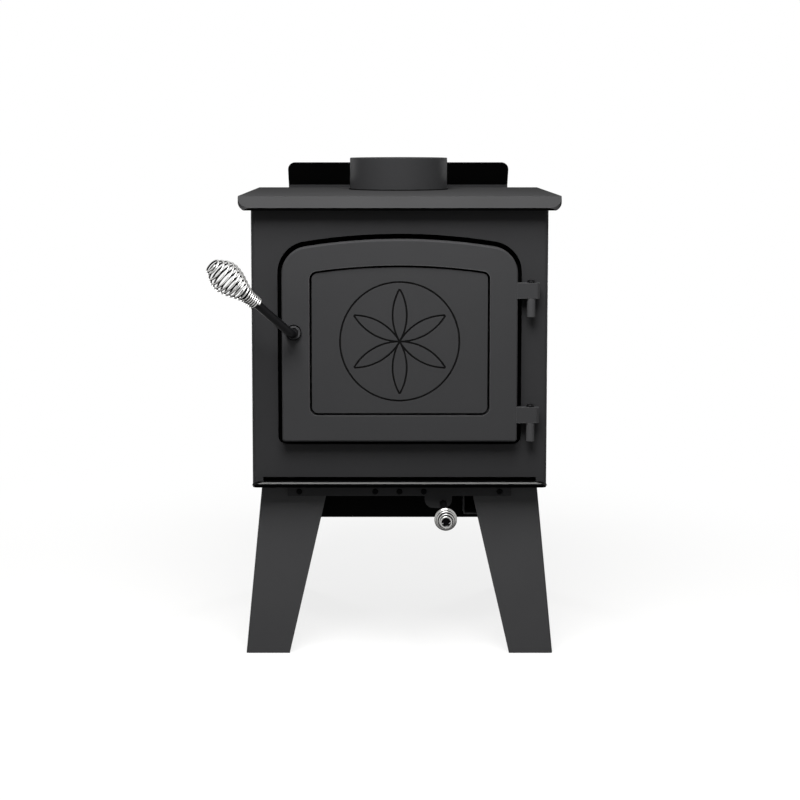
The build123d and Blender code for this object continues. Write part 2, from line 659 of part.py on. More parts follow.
def tray_screws():
    """Returns the tray's four screws, put in from below."""
    head = (TRAY_LOW - SHIELD_HEAD_HIGH, TRAY_LOW)
    shank = (TRAY_LOW, TRAY_LOW + POST_SCREW_DEEP)
    return group(bar_z(x, y, SHIELD_HEAD, head) + bar_z(x, y, POST_BORE, shank) for x, y in tray_places())


# Legs

def bolt_places():
    """Returns the X and Y of the eight leg bolts."""
    rows = (LEG_BOLT_Y, BODY_DEPTH - LEG_BOLT_Y)
    return [(side * x, y) for side in (-1, 1) for x in LEG_BOLT_X for y in rows]


def leg(left, rear):
    """Returns one leg: two tapered flanges, a bolting flange and a foot plate, welded together."""
    def section(x_range, deep, z):
        """Returns the angle's section at one height."""
        (low, high), back = x_range, LEG_Y + LEG_SHEET
        return Pos(0, 0, z) * make_face(Polyline(
            (low, LEG_Y), (high, LEG_Y), (high, LEG_Y + deep), (high - LEG_SHEET, LEG_Y + deep),
            (high - LEG_SHEET, back), (low, back), close=True))
    ends = [section(LEG_FOOT_X, LEG_FOOT_DEEP, 0), section(LEG_TOP_X, LEG_TOP_DEEP, BODY_BOTTOM)]
    angle = loft(ends, ruled=True)
    corner = angle.edges().sort_by(lambda edge: edge.center().X - edge.center().Y)[-1]
    angle = fillet(corner, LEG_BEND)
    weld = LEG_SHEET / 2
    flange_x = (LEG_TOP_X[0], LEG_TOP_X[1] - weld)
    flange = block(flange_x, (LEG_Y + weld, LEG_Y + LEG_FLANGE), (BODY_BOTTOM - LEG_SHEET, BODY_BOTTOM))
    foot_x = (LEG_FOOT_X[0], LEG_FOOT_X[1] - weld)
    foot = block(foot_x, (LEG_Y + weld, LEG_Y + LEG_FOOT_DEEP - weld), (0, LEG_SHEET))
    one = angle + flange + foot
    for x in LEG_BOLT_X:
        one -= bar_z(x, LEG_BOLT_Y, BOLT_RADIUS, (BODY_BOTTOM - 2 * LEG_SHEET, BODY_BOTTOM + WALL))
    if not rear:
        reach = (LEG_Y - WALL, LEG_Y + 2 * LEG_SHEET)
        one -= bar_y(VALANCE_SCREW_X[-1], VALANCE_SCREW_Z, VALANCE_SCREW, reach)
    if left:
        one = mirror(one, Plane.YZ)
    if rear:
        one = mirror(one, Plane.XZ.offset(-BODY_DEPTH / 2))
    return one


def leg_bolts():
    """Returns the eight hexagon bolts that go up through the legs into the floor plate."""
    seat = BODY_BOTTOM - LEG_SHEET
    shank = (seat, FLOOR_TOP - BOLT_SHORT)
    head = extrude(RegularPolygon(BOLT_FLATS / 2, 6, major_radius=False), amount=BOLT_HEAD)
    return group(
        Pos(x, y, seat - BOLT_HEAD) * head + bar_z(x, y, BOLT_RADIUS, shank) for x, y in bolt_places())


# Valance

def front_valance():
    """Returns the strip under the front, with the rounded tab of the air control."""
    strip = Pos(0, (VALANCE_LOW + BODY_BOTTOM) / 2) * Rectangle(2 * VALANCE_HALF, BODY_BOTTOM - VALANCE_LOW)
    low, high = VALANCE_TAB_X
    tab_high = BODY_BOTTOM - VALANCE_TAB_LOW
    tab = Pos((low + high) / 2, VALANCE_TAB_LOW + tab_high / 2) * Rectangle(high - low, tab_high)
    tab = fillet(tab.vertices().group_by(Axis.Y)[0], VALANCE_TAB_ROUND)
    face = strip + tab - Pos(CONTROL_X, CONTROL_Z) * Circle(CONTROL_ROD + CONTROL_CLEAR)
    for x in VALANCE_SCREW_X:
        face -= Pos(x, VALANCE_SCREW_Z) * Circle(VALANCE_SCREW)
    return slab(face, (LEG_Y - VALANCE_SHEET, LEG_Y))


def valance_bracket():
    """Returns the angle that holds the middle of the valance."""
    wide = (-BRACKET_HALF, BRACKET_HALF)
    upright = block(wide, (LEG_Y, LEG_Y + BRACKET_SHEET), (BODY_BOTTOM - BRACKET_DROP, BODY_BOTTOM))
    level = block(wide, (LEG_Y, LEG_Y + BRACKET_DEEP), (BODY_BOTTOM - BRACKET_SHEET, BODY_BOTTOM))
    bracket = upright + level
    for x in VALANCE_SCREW_X[1:-1]:
        bracket -= bar_y(x, VALANCE_SCREW_Z, VALANCE_SCREW, (LEG_Y - WALL, LEG_Y + 2 * BRACKET_SHEET))
    return bracket


def valance_screws():
    """Returns the valance's five button-head screws."""
    seat = LEG_Y - VALANCE_SHEET
    shank = VALANCE_SHEET + BRACKET_SHEET
    return group(
        screw_y(x, VALANCE_SCREW_Z, seat, VALANCE_SCREW, shank, VALANCE_HEAD, VALANCE_HEAD_HIGH, True)
        for x in VALANCE_SCREW_X)


# Air supply

def port_x():
    """Returns the air port's range in X."""
    inset = DUCT_NECK_INSET + PORT_INSET
    return (DUCT_X[0] + inset, DUCT_X[1] - inset)


def port_y():
    """Returns the air port's range in Y, inside the closed slide."""
    rear = DUCT_Y[1] - DUCT_NECK_INSET - PORT_INSET
    return (rear - CONTROL_TRAVEL + 2 * PORT_INSET, rear)


def air_intake_duct():
    """Returns the duct that is open to the front and ends under the air port."""
    wide, high = DUCT_X[1] - DUCT_X[0], DUCT_Z[1] - DUCT_Z[0]
    middle = Pos(sum(DUCT_X) / 2, sum(DUCT_Z) / 2)
    tube = slab(middle * RectangleRounded(wide, high, DUCT_BEND), DUCT_Y)
    rear = DUCT_Y[1] - DUCT_NECK_INSET
    neck_x = (DUCT_X[0] + DUCT_NECK_INSET, DUCT_X[1] - DUCT_NECK_INSET)
    neck_y = (port_y()[0] - PORT_INSET, rear)
    neck_top = SLIDE_LOW - SLIDE_GAP
    tube += block(neck_x, neck_y, (DUCT_Z[1] - DUCT_SHEET, neck_top))
    inner = middle * RectangleRounded(wide - 2 * DUCT_SHEET, high - 2 * DUCT_SHEET, DUCT_BEND - DUCT_SHEET)
    tube -= slab(inner, (DUCT_Y[0] - WALL, DUCT_Y[1] - DUCT_SHEET))
    throat_x = (neck_x[0] + DUCT_SHEET, neck_x[1] - DUCT_SHEET)
    throat_y = (neck_y[0] + DUCT_SHEET, neck_y[1] - DUCT_SHEET)
    return tube - block(throat_x, throat_y, (DUCT_Z[1] - 2 * DUCT_SHEET, neck_top + WALL))


def damper_guides():
    """Returns the two rails that the damper slides in."""
    low = SLIDE_LOW - SLIDE_GAP - RAIL_SHEET
    rails = []
    for edge, way in ((SLIDE_X[0], -1), (SLIDE_X[1], 1)):
        inner = edge + way * SLIDE_GAP
        outer = inner + way * RAIL_SHEET
        lip = edge - way * RAIL_LIP
        upright = block(sorted((inner, outer)), RAIL_Y, (low, BODY_BOTTOM))
        rails.append(upright + block(sorted((lip, outer)), RAIL_Y, (low, low + RAIL_SHEET)))
    return group(rails)


def damper_slide():
    """Returns the plate that covers the air port, with the arm that the rod carries."""
    plate = block(SLIDE_X, SLIDE_Y, (SLIDE_LOW, SLIDE_TOP))
    half = ARM_WIDTH / 2
    arm_y = (SLIDE_Y[0], SLIDE_Y[0] + ARM_THICK)
    arm = block((CONTROL_X - half, CONTROL_X + half), arm_y, (CONTROL_Z - ARM_BELOW, SLIDE_LOW))
    return plate + arm - bar_y(CONTROL_X, CONTROL_Z, CONTROL_ROD, (SLIDE_Y[0] - WALL, SLIDE_Y[0] + 2 * WALL))


def control_rod():
    """Returns the rod from inside the grip's tip to the damper's arm."""
    front = CONTROL_TIP_Y + CONTROL_ROD_SHORT
    rear = SLIDE_Y[0] + ARM_THICK + ROD_BEYOND
    rod = bar_y(CONTROL_X, CONTROL_Z, CONTROL_ROD, (front, rear))
    return chamfer(rod.edges().filter_by(GeomType.CIRCLE), CONTROL_ROD / 5)


def rod_clips():
    """Returns the two rings that hold the rod in the damper's arm."""
    rear = SLIDE_Y[0] + ARM_THICK
    reaches = ((SLIDE_Y[0] - CLIP_RING_THICK, SLIDE_Y[0]), (rear, rear + CLIP_RING_THICK))
    return group(
        bar_y(CONTROL_X, CONTROL_Z, CLIP_RING, reach) - bar_y(CONTROL_X, CONTROL_Z, CONTROL_ROD, reach)
        for reach in reaches)


# Fire lining

def row(low, high, count):
    """Returns equal ranges that fill a length, with a brick gap between them."""
    size = (high - low - (count - 1) * BRICK_GAP) / count
    return [(low + i * (size + BRICK_GAP), low + i * (size + BRICK_GAP) + size) for i in range(count)]


def grate_range(port):
    """Returns the grate's range over one range of the air port."""
    return (port[0] - GRATE_MARGIN, port[1] + GRATE_MARGIN)


def floor_grate():
    """Returns the slotted plate over the air port."""
    x_range, y_range = grate_range(port_x()), grate_range(port_y())
    plate = block(x_range, y_range, (FLOOR_TOP, FLOOR_TOP + GRATE_HIGH))
    slot = (port_x()[1] - port_x()[0] - (GRATE_SLOTS - 1) * GRATE_BAR) / GRATE_SLOTS
    for i in range(GRATE_SLOTS):
        low = port_x()[0] + i * (slot + GRATE_BAR)
        plate -= block((low, low + slot), port_y(), (FLOOR_TOP - WALL, FLOOR_TOP + GRATE_HIGH + WALL))
    return plate


def floor_bricks():
    """Returns the bricks of the fire floor, cut round the grate."""
    reach = (FLOOR_TOP, BRICK_BASE)
    pocket_x = [place + side for place, side in zip(grate_range(port_x()), (-BRICK_GAP, BRICK_GAP))]
    pocket_y = [place + side for place, side in zip(grate_range(port_y()), (-BRICK_GAP, BRICK_GAP))]
    pocket = block(pocket_x, pocket_y, (FLOOR_TOP - WALL, BRICK_BASE + WALL))
    bricks = []
    for columns in row(-BRICK_SIDE, BRICK_SIDE, FLOOR_COLUMNS):
        for rows in row(BRICK_FRONT, BRICK_REAR, FLOOR_ROWS):
            bricks.extend((block(columns, rows, reach) - pocket).solids())
    return group(bricks)


def side_bricks(way):
    """Returns the bricks along one side."""
    inner = BRICK_SIDE - BRICK_THICK
    x_range = sorted((way * inner, way * BRICK_SIDE))
    rear = BRICK_REAR - BRICK_THICK - BRICK_GAP
    reach = (BRICK_BASE, BRICK_BASE + BRICK_HIGH)
    return group(block(x_range, y_range, reach) for y_range in row(BRICK_FRONT, rear, SIDE_BRICKS))


def rear_bricks():
    """Returns the bricks along the rear wall."""
    y_range = (BRICK_REAR - BRICK_THICK, BRICK_REAR)
    reach = (BRICK_BASE, BRICK_BASE + BRICK_HIGH)
    return group(block(x_range, y_range, reach) for x_range in row(-BRICK_SIDE, BRICK_SIDE, REAR_BRICKS))


def baffle_board():
    """Returns the board that turns the smoke forward before the flue."""
    reach = (BAFFLE_LOW, BAFFLE_LOW + BAFFLE_THICK)
    return block((-BRICK_SIDE, BRICK_SIDE), (BAFFLE_FRONT_Y, BRICK_REAR), reach)


def baffle_rails():
    """Returns the two angles that carry the baffle."""
    reach = (BAFFLE_FRONT_Y, INNER_REAR)
    rails = []
    for way in (-1, 1):
        ledge_x = sorted((way * (INNER_HALF - RAIL_DEEP), way * INNER_HALF))
        upright_x = sorted((way * (INNER_HALF - RAIL_THICK), way * INNER_HALF))
        ledge = block(ledge_x, reach, (BAFFLE_LOW - RAIL_THICK, BAFFLE_LOW))
        rails.append(ledge + block(upright_x, reach, (BAFFLE_LOW - RAIL_DROP, BAFFLE_LOW)))
    return group(rails)


# Hinge

def barrel_range(tab):
    """Returns the height range of the barrel under one hinge tab."""
    top = tab[0] - BARREL_GAP
    return (top - BARREL_LENGTH, top)


def hinge_barrel(tab):
    """Returns one barrel with the lug that is welded to the front panel."""
    reach = barrel_range(tab)
    half = LUG_WIDTH / 2
    lug = block((HINGE_X - half, HINGE_X + half), (HINGE_Y, 0), reach)
    return bar_z(HINGE_X, HINGE_Y, BARREL_RADIUS, reach) + lug - bar_z(HINGE_X, HINGE_Y, PIN_RADIUS, reach)


def hinge_pins():
    """Returns the two headed pins, which stay in the barrels."""
    pins = []
    for tab in (HINGE_LOW, HINGE_HIGH):
        seat = tab[1] + BARREL_GAP
        head = bar_z(HINGE_X, HINGE_Y, PIN_HEAD, (seat, seat + PIN_HEAD_HIGH))
        head = fillet(head.edges().filter_by(GeomType.CIRCLE).sort_by(Axis.Z)[-1], PIN_HEAD_HIGH * 0.7)
        pins.append(head + bar_z(HINGE_X, HINGE_Y, PIN_RADIUS, (barrel_range(tab)[0], seat)))
    return group(pins)


# Door

def clip_seats():
    """Returns each panel clip's X, the edge of the opening there and the way outwards."""
    seats = []
    for x in (-CLIP_X, CLIP_X):
        seats.append((x, CLIP_EDGE, 1))
        seats.append((x, OPENING_BOTTOM, -1))
    return seats


def clip_screw_z(edge, way):
    """Returns the height of a clip's screw."""
    return edge + way * (PANEL_LAP + CLIP_STEP + CLIP_FOOT / 2)


def door_casting():
    """Returns the cast door frame, with its opening, hinge tabs, shaft hole and rope groove."""
    frame = slab(door_face(0), (DOOR_FACE_Y, DOOR_BACK_Y))
    frame = fillet(frame.faces().sort_by(Axis.Y)[0].edges(), DOOR_EDGE_ROUND)
    frame -= slab(opening_face(0), (DOOR_FACE_Y - WALL, DOOR_BACK_Y + WALL))
    tab_y = (HINGE_Y - TAB_DEEP / 2, HINGE_Y + TAB_DEEP / 2)
    for tab in (HINGE_LOW, HINGE_HIGH):
        lug = block((DOOR_HALF - TAB_ROOT, TAB_END_X), tab_y, tab)
        frame += fillet(lug.edges().filter_by(Axis.Z).group_by(Axis.X)[-1], TAB_END_ROUND)
        frame -= bar_z(HINGE_X, HINGE_Y, PIN_RADIUS + PIN_FIT, (tab[0] - WALL, tab[1] + WALL))
    frame -= bar_y(PIVOT_X, PIVOT_Z, HANDLE_ROD + SHAFT_FIT, (DOOR_FACE_Y - WALL, DOOR_BACK_Y + WALL))
    groove = ROPE_RADIUS + ROPE_GAP
    frame -= slab(rope_face(groove) - rope_face(-groove), (DOOR_BACK_Y - ROPE_SUNK, DOOR_BACK_Y + WALL))
    for x, edge, way in clip_seats():
        hole = (DOOR_BACK_Y - CLIP_SCREW_DEEP, DOOR_BACK_Y + WALL)
        frame -= bar_y(x, clip_screw_z(edge, way), CLIP_SCREW, hole)
    return frame


def rosette_lines():
    """Returns the face of the rosette's engraved lines: six petals in a rim, each drawn as two arcs."""
    def spot(radius, degrees):
        """Returns a point on a circle about the rosette's middle."""
        return (radius * math.cos(math.radians(degrees)), radius * math.sin(math.radians(degrees)))
    step = 360 / ROSETTE_PETALS
    half = ROSETTE_LINE / 2
    lines = Circle(ROSETTE_RIM + half) - Circle(ROSETTE_RIM - half)
    for i in range(ROSETTE_PETALS):
        for way in (-1, 1):
            centre = Pos(*spot(ROSETTE_RADIUS, 90 + i * step + way * step))
            ring = centre * (Circle(ROSETTE_RADIUS + half) - Circle(ROSETTE_RADIUS - half))
            lines += ring & Circle(ROSETTE_RADIUS)
    return Pos(0, ROSETTE_Z) * lines


def door_panel():
    """Returns the hollow panel with its flange and its engraved rosette."""
    panel = slab(opening_face(-PANEL_GROOVE), (PANEL_FACE_Y, PANEL_BACK_Y))
    panel += slab(opening_face(PANEL_LAP), (PANEL_BACK_Y, FLANGE_BACK_Y))
    hollow_y = (PANEL_FACE_Y + PANEL_THICK, FLANGE_BACK_Y + WALL)
    panel -= slab(opening_face(-PANEL_GROOVE - PANEL_THICK), hollow_y)
    return panel - slab(rosette_lines(), (PANEL_FACE_Y - WALL, PANEL_FACE_Y + ROSETTE_DEPTH))


def panel_gasket():
    """Returns the flat gasket between the panel's flange and the casting."""
    return slab(opening_face(PANEL_LAP) - opening_face(0), (DOOR_BACK_Y, PANEL_BACK_Y))


def door_insulation():
    """Returns the board in the panel's hollow."""
    inset = PANEL_GROOVE + PANEL_THICK + INSULATION_GAP
    return slab(opening_face(-inset), (PANEL_FACE_Y + PANEL_THICK, PANEL_BACK_Y + GASKET_THICK))


def panel_clips():
    """Returns the four stepped clips that hold the panel's flange."""
    clips = []
    for x, edge, way in clip_seats():
        wide = (x - CLIP_WIDTH / 2, x + CLIP_WIDTH / 2)
        foot = edge + way * (PANEL_LAP + CLIP_STEP)
        end = foot + way * CLIP_FOOT
        hold = edge + way * (PANEL_LAP - CLIP_HOLD)
        plate = block(wide, (FLANGE_BACK_Y, FLANGE_BACK_Y + CLIP_THICK), sorted((hold, end)))
        clip = plate + block(wide, (DOOR_BACK_Y, FLANGE_BACK_Y), sorted((foot, end)))
        hole = (DOOR_BACK_Y - WALL, FLANGE_BACK_Y + 2 * WALL)
        clips.append(clip - bar_y(x, clip_screw_z(edge, way), CLIP_SCREW, hole))
    return group(clips)


def clip_screws():
    """Returns the four screws of the panel clips."""
    seat = FLANGE_BACK_Y + CLIP_THICK
    shank = seat - DOOR_BACK_Y + CLIP_SCREW_DEEP
    return group(
        screw_y(x, clip_screw_z(edge, way), seat, CLIP_SCREW, shank, CLIP_HEAD, CLIP_HEAD_HIGH, False)
        for x, edge, way in clip_seats())


def door_rope():
    """Returns the rope seal, laid in the casting's groove."""
    path = Plane.XZ.offset(-ROPE_Y) * rope_face(0).wire()
    start = path.position_at(0)
    return sweep(Plane(origin=start, z_dir=path.tangent_at(0)) * Circle(ROPE_RADIUS), path=path)


def handle_bushing():
    """Returns the ring round the handle's shaft."""
    reach = (DOOR_FACE_Y - BUSHING_HIGH, DOOR_FACE_Y)
    ring = bar_y(PIVOT_X, PIVOT_Z, BUSHING_RADIUS, reach)
    ring = fillet(ring.edges().filter_by(GeomType.CIRCLE).sort_by(Axis.Y)[0], BUSHING_HIGH / 4)
    return ring - bar_y(PIVOT_X, PIVOT_Z, HANDLE_ROD + SHAFT_FIT, reach)


# Latch

def handle_rod():
    """Returns the bent rod from the latch's nut to the inside of the grip."""
    shaft_end = Vector(PIVOT_X, HOOK_Y + HOOK_THICK, PIVOT_Z)
    arm_end = ELBOW + ARM * (HANDLE_NECK + HANDLE_GRIP_LENGTH)
    path = FilletPolyline(shaft_end, ELBOW, arm_end, radius=HANDLE_BEND)
    rod = sweep(Plane(origin=shaft_end, z_dir=(0, -1, 0)) * Circle(HANDLE_ROD), path=path)
    rod += bar_y(PIVOT_X, PIVOT_Z, STUD_RADIUS, (shaft_end.Y, shaft_end.Y + STUD_LENGTH))
    neck = Plane(origin=ELBOW + ARM * HANDLE_NECK, z_dir=ARM)
    return rod + extrude(neck * Circle(HANDLE_GRIP_RADIUS), amount=HANDLE_GRIP_LENGTH)


def latch_spacer():
    """Returns the tube between the door and the hook."""
    reach = (DOOR_BACK_Y + TURN_GAP, HOOK_Y)
    return bar_y(PIVOT_X, PIVOT_Z, SPACER_RADIUS, reach) - bar_y(PIVOT_X, PIVOT_Z, HANDLE_ROD, reach)


def latch_hook():
    """Returns the hook, which turns in behind the edge of the front panel."""
    finger = Pos(HOOK_REACH / 2, 0) * SlotOverall(HOOK_REACH + HOOK_WIDTH, HOOK_WIDTH)
    face = Circle(HOOK_HUB) + Pos(-HOOK_WIDTH / 2, 0) * finger - Circle(HANDLE_ROD)
    return slab(Pos(PIVOT_X, PIVOT_Z) * Rot(0, 0, HOOK_ANGLE) * face, (HOOK_Y, HOOK_Y + HOOK_THICK))


def latch_nut():
    """Returns the nut that holds the hook."""
    face = RegularPolygon(NUT_FLATS / 2, 6, major_radius=False) - Circle(STUD_RADIUS)
    start = HOOK_Y + HOOK_THICK
    return slab(Pos(PIVOT_X, PIVOT_Z) * face, (start, start + NUT_HIGH))


def latch_keeper():
    """Returns the wear plate behind the front panel that the hook draws against."""
    edge = -DOOR_HALF - DOOR_GAP - KEEPER_INSET
    reach = (PIVOT_Z - KEEPER_HALF, PIVOT_Z + KEEPER_HALF)
    return block((edge - KEEPER_WIDTH, edge), (WALL, KEEPER_BACK_Y), reach)


# Wound wire grips

def arc_middle(start, end, tangent):
    """Returns the middle of the arc that leaves start along a tangent and reaches end."""
    chord = end - start
    along = chord.normalized()
    side = (tangent - along * tangent.dot(along)).normalized()
    half_turn = math.acos(tangent.dot(along))
    return start + chord * 0.5 + side * (chord.length / 2 * math.tan(half_turn / 2))


def biarc(start, start_way, end, end_way):
    """Returns the two arcs that join two points along their tangents."""
    span = end - start
    reach = span.dot(start_way + end_way)
    spread = 2 * (1 - start_way.dot(end_way))
    pull = (math.sqrt(reach**2 + spread * span.dot(span)) - reach) / spread
    joint = (start + end + (start_way - end_way) * pull) * 0.5
    first = ThreePointArc(start, arc_middle(start, joint, start_way), joint)
    second = ThreePointArc(joint, arc_middle(end, joint, end_way * -1), end)
    return [first.edge(), second.edge()]


def wound_grip(name, neck, axis, side, wire, turns, close_turns, length, shape):
    """Returns a bulb wound from one wire, on biarcs of half a turn, and prints its least gap.

    The turns start close together at the neck, ease into an even pitch and end in a closed ring. The shape
    holds the outer radii of the neck, the bulb and the end ring, and where the swelling, the widest turn
    and the end ring lie.
    """
    neck_radius, bulb_radius, tip_radius, swell_at, bulb_at, ring_at = shape
    closing = (ring_at - bulb_at) / math.acos(tip_radius / bulb_radius)
    other = axis.cross(side)
    close_pitch = wire + CLOSE_GAP
    slow_turns = close_turns + PITCH_EASE_TURNS / 2 + END_TURNS
    open_pitch = (length - slow_turns * close_pitch) / (turns - slow_turns)

    def advance(turn):
        """Returns how far along the axis a turn has come."""
        past = min(turn, turns - END_TURNS) - close_turns
        if past <= 0:
            return turn * close_pitch
        eased = min(past, PITCH_EASE_TURNS)
        pitch_gain = (open_pitch - close_pitch) * eased**2 / (2 * PITCH_EASE_TURNS)
        return turn * close_pitch + pitch_gain + max(past - PITCH_EASE_TURNS, 0) * (open_pitch - close_pitch)

    def radius(along):
        """Returns the radius of the wire's middle at a place on the axis."""
        if along <= bulb_at:
            share = min(max((along - swell_at) / (bulb_at - swell_at), 0), 1)
            outer = neck_radius + (bulb_radius - neck_radius) * (1 - math.cos(math.pi * share)) / 2
        else:
            outer = bulb_radius * math.cos((min(along, ring_at) - bulb_at) / closing)
        return outer - wire / 2

    def spot(turn):
        """Returns the wire's middle at a turn."""
        along = advance(turn)
        angle = 2 * math.pi * turn
        return neck + axis * along + (side * math.cos(angle) + other * math.sin(angle)) * radius(along)

    def way(turn):
        """Returns the wire's direction at a turn."""
        step = 0.001
        return (spot(turn + step) - spot(turn - step)).normalized()

    halves = [i / 2 for i in range(2 * turns + 1)]
    arcs = []
    for turn, next_turn in zip(halves, halves[1:]):
        arcs.extend(biarc(spot(turn), way(turn), spot(next_turn), way(next_turn)))
    points = [arc.position_at(i / POINTS_PER_ARC) for arc in arcs for i in range(POINTS_PER_ARC)]
    half_turn = 2 * POINTS_PER_ARC
    gap = min((b - a).length for i, a in enumerate(points) for b in points[i + half_turn:]) - wire
    print(f"{name}: {turns} turns, least gap between turns {gap:.2f} mm")
    path = Wire(arcs)
    start = path.position_at(0)
    return sweep(Plane(origin=start, z_dir=path.tangent_at(0)) * Circle(wire / 2), path=path)


def handle_coil():
    """Returns the grip of the door handle."""
    shape = (HANDLE_NECK_OUTER, HANDLE_BULB, HANDLE_TIP, HANDLE_SWELL_AT, HANDLE_BULB_AT, HANDLE_RING_AT)
    return wound_grip(
        "handle_coil", ELBOW + ARM * HANDLE_NECK, ARM, ARM_SIDE,
        HANDLE_WIRE, HANDLE_TURNS, HANDLE_CLOSE_TURNS, HANDLE_COIL_LENGTH, shape)


def control_coil():
    """Returns the grip of the air control."""
    shape = (
        CONTROL_NECK_OUTER, CONTROL_BULB, CONTROL_TIP, CONTROL_SWELL_AT, CONTROL_BULB_AT, CONTROL_RING_AT)
    neck = Vector(CONTROL_X, CONTROL_TIP_Y + CONTROL_COIL_LENGTH, CONTROL_Z)
    return wound_grip(
        "control_coil", neck, Vector(0, -1, 0), Vector(1, 0, 0),
        CONTROL_WIRE, CONTROL_TURNS, CONTROL_CLOSE_TURNS, CONTROL_COIL_LENGTH, shape)


NODES = {
    "body_wrap": body_wrap(),
    "back_plate": back_plate(),
    "bottom_plate": bottom_plate(),
    "top_plate": top_plate(),
    "flue_collar": flue_collar(),
    "seal_frame": seal_frame(),
    "ash_lip": ash_lip(),
    "rear_heat_shield": rear_heat_shield(),
    "shield_spacers": shield_spacers(),
    "shield_screws": shield_screws(),
    "bottom_heat_shield": bottom_heat_shield(),
    "tray_spacers": tray_spacers(),
    "tray_screws": tray_screws(),
    "leg_front_left": leg(left=True, rear=False),
    "leg_front_right": leg(left=False, rear=False),
    "leg_rear_left": leg(left=True, rear=True),
    "leg_rear_right": leg(left=False, rear=True),
    "leg_bolts": leg_bolts(),
    "front_valance": front_valance(),
    "valance_bracket": valance_bracket(),
    "valance_screws": valance_screws(),
    "air_intake_duct": air_intake_duct(),
    "damper_guides": damper_guides(),
    "floor_grate": floor_grate(),
    "floor_bricks": floor_bricks(),
    "side_bricks_left": side_bricks(-1),
    "side_bricks_right": side_bricks(1),
    "rear_bricks": rear_bricks(),
    "baffle_board": baffle_board(),
    "baffle_rails": baffle_rails(),
    "hinge_barrel_upper": hinge_barrel(HINGE_HIGH),
    "hinge_barrel_lower": hinge_barrel(HINGE_LOW),
    "hinge_pins": hinge_pins(),
    "latch_keeper": latch_keeper(),
    "door_casting": door_casting(),
    "door_panel": door_panel(),
    "panel_gasket": panel_gasket(),
    "panel_clips": panel_clips(),
    "clip_screws": clip_screws(),
    "door_insulation": door_insulation(),
    "door_rope": door_rope(),
    "handle_bushing": handle_bushing(),
    "handle_rod": handle_rod(),
    "handle_coil": handle_coil(),
    "latch_spacer": latch_spacer(),
    "latch_hook": latch_hook(),
    "latch_nut": latch_nut(),
    "control_rod": control_rod(),
    "control_coil": control_coil(),
    "damper_slide": damper_slide(),
    "rod_clips": rod_clips(),
}

os.makedirs("parts", exist_ok=True)
for node_name, node in NODES.items():
    export_step(Pos(FRAME_X, FRAME_Y, 0) * node, f"parts/{node_name}.step")
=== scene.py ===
"""Wood burning stove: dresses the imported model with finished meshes, materials and a plain studio.

Millimetres in the stove's own frame are used for every size: X = 0 on the middle plane, Y = 0 on the front
panel and Z = 0 on the floor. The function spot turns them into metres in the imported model's frame.
"""

from __future__ import annotations

import logging
import math
from dataclasses import dataclass, field
from enum import Enum
from typing import Any, Callable, Sequence

import bmesh
import bpy
from mathutils import Matrix, Vector, noise

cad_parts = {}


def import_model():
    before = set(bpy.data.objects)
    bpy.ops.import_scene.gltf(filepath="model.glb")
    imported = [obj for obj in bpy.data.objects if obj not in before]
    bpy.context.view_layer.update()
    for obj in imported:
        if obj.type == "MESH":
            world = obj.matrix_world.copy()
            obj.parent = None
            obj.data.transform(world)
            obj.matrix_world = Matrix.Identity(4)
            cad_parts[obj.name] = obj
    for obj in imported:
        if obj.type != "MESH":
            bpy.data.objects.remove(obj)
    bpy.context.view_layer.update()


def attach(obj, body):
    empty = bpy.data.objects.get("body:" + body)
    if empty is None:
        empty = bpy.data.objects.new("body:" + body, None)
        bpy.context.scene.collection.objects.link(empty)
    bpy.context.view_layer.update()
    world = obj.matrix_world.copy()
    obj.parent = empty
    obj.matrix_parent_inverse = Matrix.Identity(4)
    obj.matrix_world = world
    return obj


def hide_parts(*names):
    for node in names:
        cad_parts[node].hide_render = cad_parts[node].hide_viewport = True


LOG = logging.getLogger("stove")
MM = 0.001
FRAME_SHIFT = Vector((18.4, -165.0, 0.0))
FRONT = Vector((0, -1, 0))
BACK = Vector((0, 1, 0))
DOWN = Vector((0, 0, -1))
RIGHT = Vector((1, 0, 0))
SENSOR_MM = 36.0
# How many strips a rounding has where it shows most.
FINE = 3
# Half the way round a wire, in the shares that the UV map of a tube holds.
HALF_ROUND = 0.5
# The share of a ring's step that stays flat on top of a tube's domed end.
DOME_FLAT = 0.5
# Sockets of the Mix node by number, because several of them share a name.
SHARE, VALUE_A, VALUE_B, COLOUR_A, COLOUR_B = 0, 2, 3, 6, 7
COLOUR_OUT = 2

Ring = tuple[float, float, bool]
Colour = tuple[float, float, float, float]
WHITE: Colour = (1.0, 1.0, 1.0, 1.0)


class Look(Enum):
    """The looks of the pieces: the record's material slot, and after a dot the kind within it."""

    PAINTED_STEEL = "painted_steel"
    PAINTED_FITTING = "painted_steel.fitting"
    HIGHLIGHTED_LIP = "painted_steel.worn"
    SHADED_STEEL = "painted_steel.sooted"
    PAINTED_TOP = "painted_top"
    SHADED_TOP = "painted_top.sooted"
    PAINTED_CAST_IRON = "painted_cast_iron"
    PAINTED_PANEL = "painted_cast_iron.panel"
    SOOTED_AND_SHADED_CAST_IRON = "painted_cast_iron.sooted"
    BARE_CAST_IRON = "bare_cast_iron"
    SHIELD_SHEET = "shield_sheet"
    SHADED_SHEET = "shield_sheet.sooted"
    NICKEL_WIRE = "nickel_wire"
    SOOTED_AND_SHADED_NICKEL_WIRE = "nickel_wire.dull"
    BLACK_OXIDE_STEEL = "black_oxide_steel"
    BUSHING_STEEL = "black_oxide_steel.bushing"
    SHADED_OXIDE = "black_oxide_steel.sooted"
    BARE_STEEL = "bare_steel"
    FIREBRICK = "firebrick"
    VERMICULITE = "vermiculite"
    FIBREGLASS_ROPE = "fibreglass_rope"

    @property
    def slot(self) -> str:
        """Returns the record's material slot."""
        return self.value.split(".")[0]


